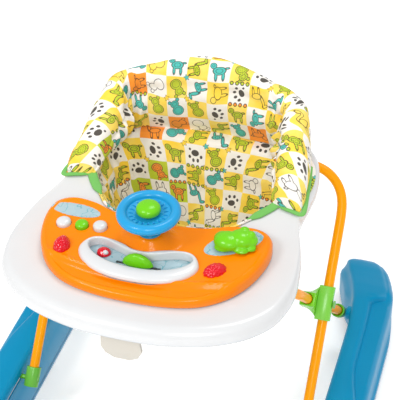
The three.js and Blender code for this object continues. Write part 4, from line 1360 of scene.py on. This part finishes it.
def bucket_rim(point, local_y):
    """The sheet's first rows, from under the pad over the ring's edge: (distance outwards, height) in mm."""
    reach = 6 + 22 * ease(local_y, -4, 22)
    wave = 2.2 * noise.noise(Vector((point.x * 0.035, point.y * 0.035, 2)))
    return [(reach, 15.5), (reach * 0.6, 16.5 + wave * 0.3), (reach * 0.25, 16 + wave), (0.5, 14.5 + wave),
            (-3 + wave, 10), (-5 + wave, 3)]


def bucket_fold(point, along, depth):
    """Folds of the hanging cloth, in mm: gathers below the wings and the rear corners, and broad slack."""
    wing = math.exp(-((point.y - 6) / 26) ** 2) * ease(abs(point.x), 100, 128)
    corner = math.exp(-((point.y - 98) / 24) ** 2) * ease(abs(point.x), 100, 128)
    gathered = wing * (1 - ease(depth, 60, 150)) + corner * (1 - ease(depth, 40, 130))
    gathered *= ease(depth, -4, 14)
    warp = 9 * noise.noise(Vector((along * 0.02, depth * 0.02, 4)))
    gathers = math.sin((along + warp + depth * 0.25) * 2 * math.pi / 23)
    spot = Vector((point.x * 0.017, point.y * 0.017, depth * 0.016))
    broad = noise.noise(spot)
    fine = noise.noise(spot * 3.4)
    return 4.6 * gathers * gathered + 6.5 * broad + 2.0 * fine


def add_bucket():
    columns = 260
    loop = smooth_loop(OPENING, columns)
    depths = [4 + 217 * (i / 73) ** 0.95 for i in range(74)]
    rim_rows = 6
    rows = [[] for _ in range(rim_rows + len(depths))]
    around = [0.0]
    for p, q in zip(loop, loop[1:]):
        around.append(around[-1] + (q - p).length * MM)
    for k, p in enumerate(loop):
        before, after = loop[k - 1], loop[(k + 1) % columns]
        tangent = (after - before).normalized()
        out = Vector((tangent.y, -tangent.x))
        if out.dot(p - Vector((0, SEAT_CENTRE))) < 0:
            out = -out
        for i, (reach, height) in enumerate(bucket_rim(p, p.y)):
            place = p + out * reach
            rows[i].append(on_tray(place.x, place.y) + Vector((0, 0, TRAY_EDGE + height * MM)))
        along = around[k] / MM
        for i, depth in enumerate(depths):
            scale, centre_y = seat_level(depth)
            spread = Vector((p.x * scale, (p.y - SEAT_CENTRE) * scale))
            sag = ease(depth, 0, 36)
            puff = 4.5 * math.exp(-((depth - 30) / 24) ** 2) * ease(p.y, 20, 70)
            inward = 1.5 + max(0.0, bucket_fold(p, along, depth) + 2.5) * sag + puff
            spread *= max(0.0, 1 - inward / max(spread.length, 1.0))
            x, y = spread.x, centre_y + spread.y
            rows[rim_rows + i].append(on_tray(x, y) + Vector((0, 0, TRAY_EDGE - depth * MM)))
    uvs = [[(u - around[columns // 2], 0.0) for u in around]]
    for upper, lower in zip(rows, rows[1:]):
        middle_step = (upper[columns // 2] - lower[columns // 2]).length
        uvs.append([(u, v - middle_step) for u, v in uvs[-1]])
    piece = grid_piece("seat_bucket_cover", rows, True, uvs)
    rework(piece, open_leg_holes)
    modify(piece, "SOLIDIFY", thickness=2.6 * MM, offset=-1)
    subdivide(piece)
    piece = finish_piece(piece, "seat_bucket", "seat_fabric")
    bucket_cut_area()
    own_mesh(piece)
    return piece


CLOTH_EASE = 1.05  # extra cloth that the gathers and slack take up
HEM_DEPTH = 40 * MM  # cloth turned up over the ring, as a mean round it


def bucket_cut_area():
    """The bucket's cut in square metres: bands round the ring that narrow with depth, less two leg holes."""
    loop = smooth_loop(OPENING, 120)
    girth = sum((q - p).length for p, q in zip(loop, loop[1:] + loop[:1])) * MM
    area = girth * HEM_DEPTH
    levels = [(0, seat_level(0)[0])] + [(depth, scale) for depth, scale, _ in SEAT_LEVELS if depth > 0]
    for (upper, wide), (lower, narrow) in zip(levels, levels[1:]):
        slant = math.hypot((lower - upper) * MM, (wide - narrow) * girth / (2 * math.pi))
        area += girth * (wide + narrow) / 2 * slant
    area -= 2 * math.pi * LEG_HOLE["radius"] ** 2 / math.cos(LEG_HOLE["slope"])
    return area * CLOTH_EASE


def binding_line(sign):
    """The binding's line on one side: along the ring, round the wing's flap and up its outside."""
    side = [p for p in smooth_loop(OPENING, 300) if p.x * sign > 108 and -66 < p.y < -6]
    ring = sorted(side, key=lambda p: p.y)
    line = [(p.x + sign * 2.5, p.y - 1, 14.8) for p in ring]
    line += [(sign * 146, 5, 15.2), (sign * 162, -3, 15.6), (sign * 179, -10, 15.6), (sign * 185, -5, 15.6)]
    line += [(sign * (x + 3), y, 16) for x, y, _ in BACK_PATH[1:4]]
    return [on_tray(x, y) + Vector((0, 0, TRAY_EDGE + z * MM)) for x, y, z in line]


BINDING_SIDES = 14  # of the binding's cross-section


def add_binding(side):
    """A folded strip of green cotton sewn over the cover's edge."""
    sign = SIDES[side]
    path, along = smooth_path(binding_line(sign), 150)
    rows, uvs = [], []
    for i, (centre, place) in enumerate(path):
        ahead, behind = path[min(i + 1, len(path) - 1)][0], path[max(i - 1, 0)][0]
        tangent = (ahead - behind).normalized()
        out = Vector((tangent.y, -tangent.x, 0)).normalized()
        lift = out.cross(tangent)
        share = place / along
        reach = (3.8 + 3.4 * (1 - ease(share, 0.3, 0.42))) * (0.25 + 0.75 * ease(share, 0, 0.10)) * MM
        ring, ring_uv = [], []
        for turn in turns(BINDING_SIDES):
            ring.append(centre + out * (reach * math.cos(turn)) + lift * (2.2 * MM * math.sin(turn)))
            ring_uv.append((place, turn * 3.4 * MM))
        rows.append(ring)
        uvs.append(ring_uv)
    piece = grid_piece(f"seat_binding_{side}", rows, True, uvs)
    close_ends(piece)
    finish_piece(piece, None, "binding", body="tray")
    return piece


# ---------------------------------------------------------------- build
add_camera()
add_stage()
add_tray_shell()
add_toy_panel()
add_bezel()
add_steering_wheel()
add_dome("horn_cap", "green_plastic", crown=0.55)
add_dome("button_outer", "white_plastic")
add_dome("button_middle", "green_plastic")
add_dome("button_inner", "white_plastic")
add_berry("left", True)
add_berry("right", False)
for label in SIDES:
    add_label(label)
add_frog()
add_window_toys()
rounded_copy("steering_column", "blue_plastic")
add_latch()
rounded_copy("latch_bracket", "white_plastic")
for tube in ("outer_leg_tube", "inner_leg_tube"):
    subdivided_copy(tube, "orange_paint", angle=50)
for name in SIDES:
    add_rail(name)
    add_rear_boss(name)
    rounded_copy(f"outer_clamp_{name}", "green_plastic", width=2.4 * MM)
    add_inner_clamp(name)
    add_rear_axle(name)
    for foot in ("front", "rear"):
        rounded_copy(f"{foot}_foot_cap_{name}", "foot_green")
    add_binding(name)
subdivided_copy("base_front_bridge", "blue_plastic", 1)
add_backrest()
add_bucket()

PLAIN = {
    "steel": ("caster_axle", "latch_pin"),
    "blue_plastic": ("rear_foot_pin", "brake_strip"),
    "foot_green": ("front_foot_pin", "pivot_rivet"),
    "rubber": ("caster_wheel", "rear_wheel"),
    "grey_plastic": ("caster_fork", "sound_module"),
    "white_plastic": ("battery_door", "rear_bar_clip", "slide_guide"),
}
for material_name, stems in PLAIN.items():
    for node_name, node_object in frame["nodes"].items():
        if node_name.startswith(stems):
            node_object.data.materials.clear()
            node_object.data.materials.append(MATERIALS[material_name])
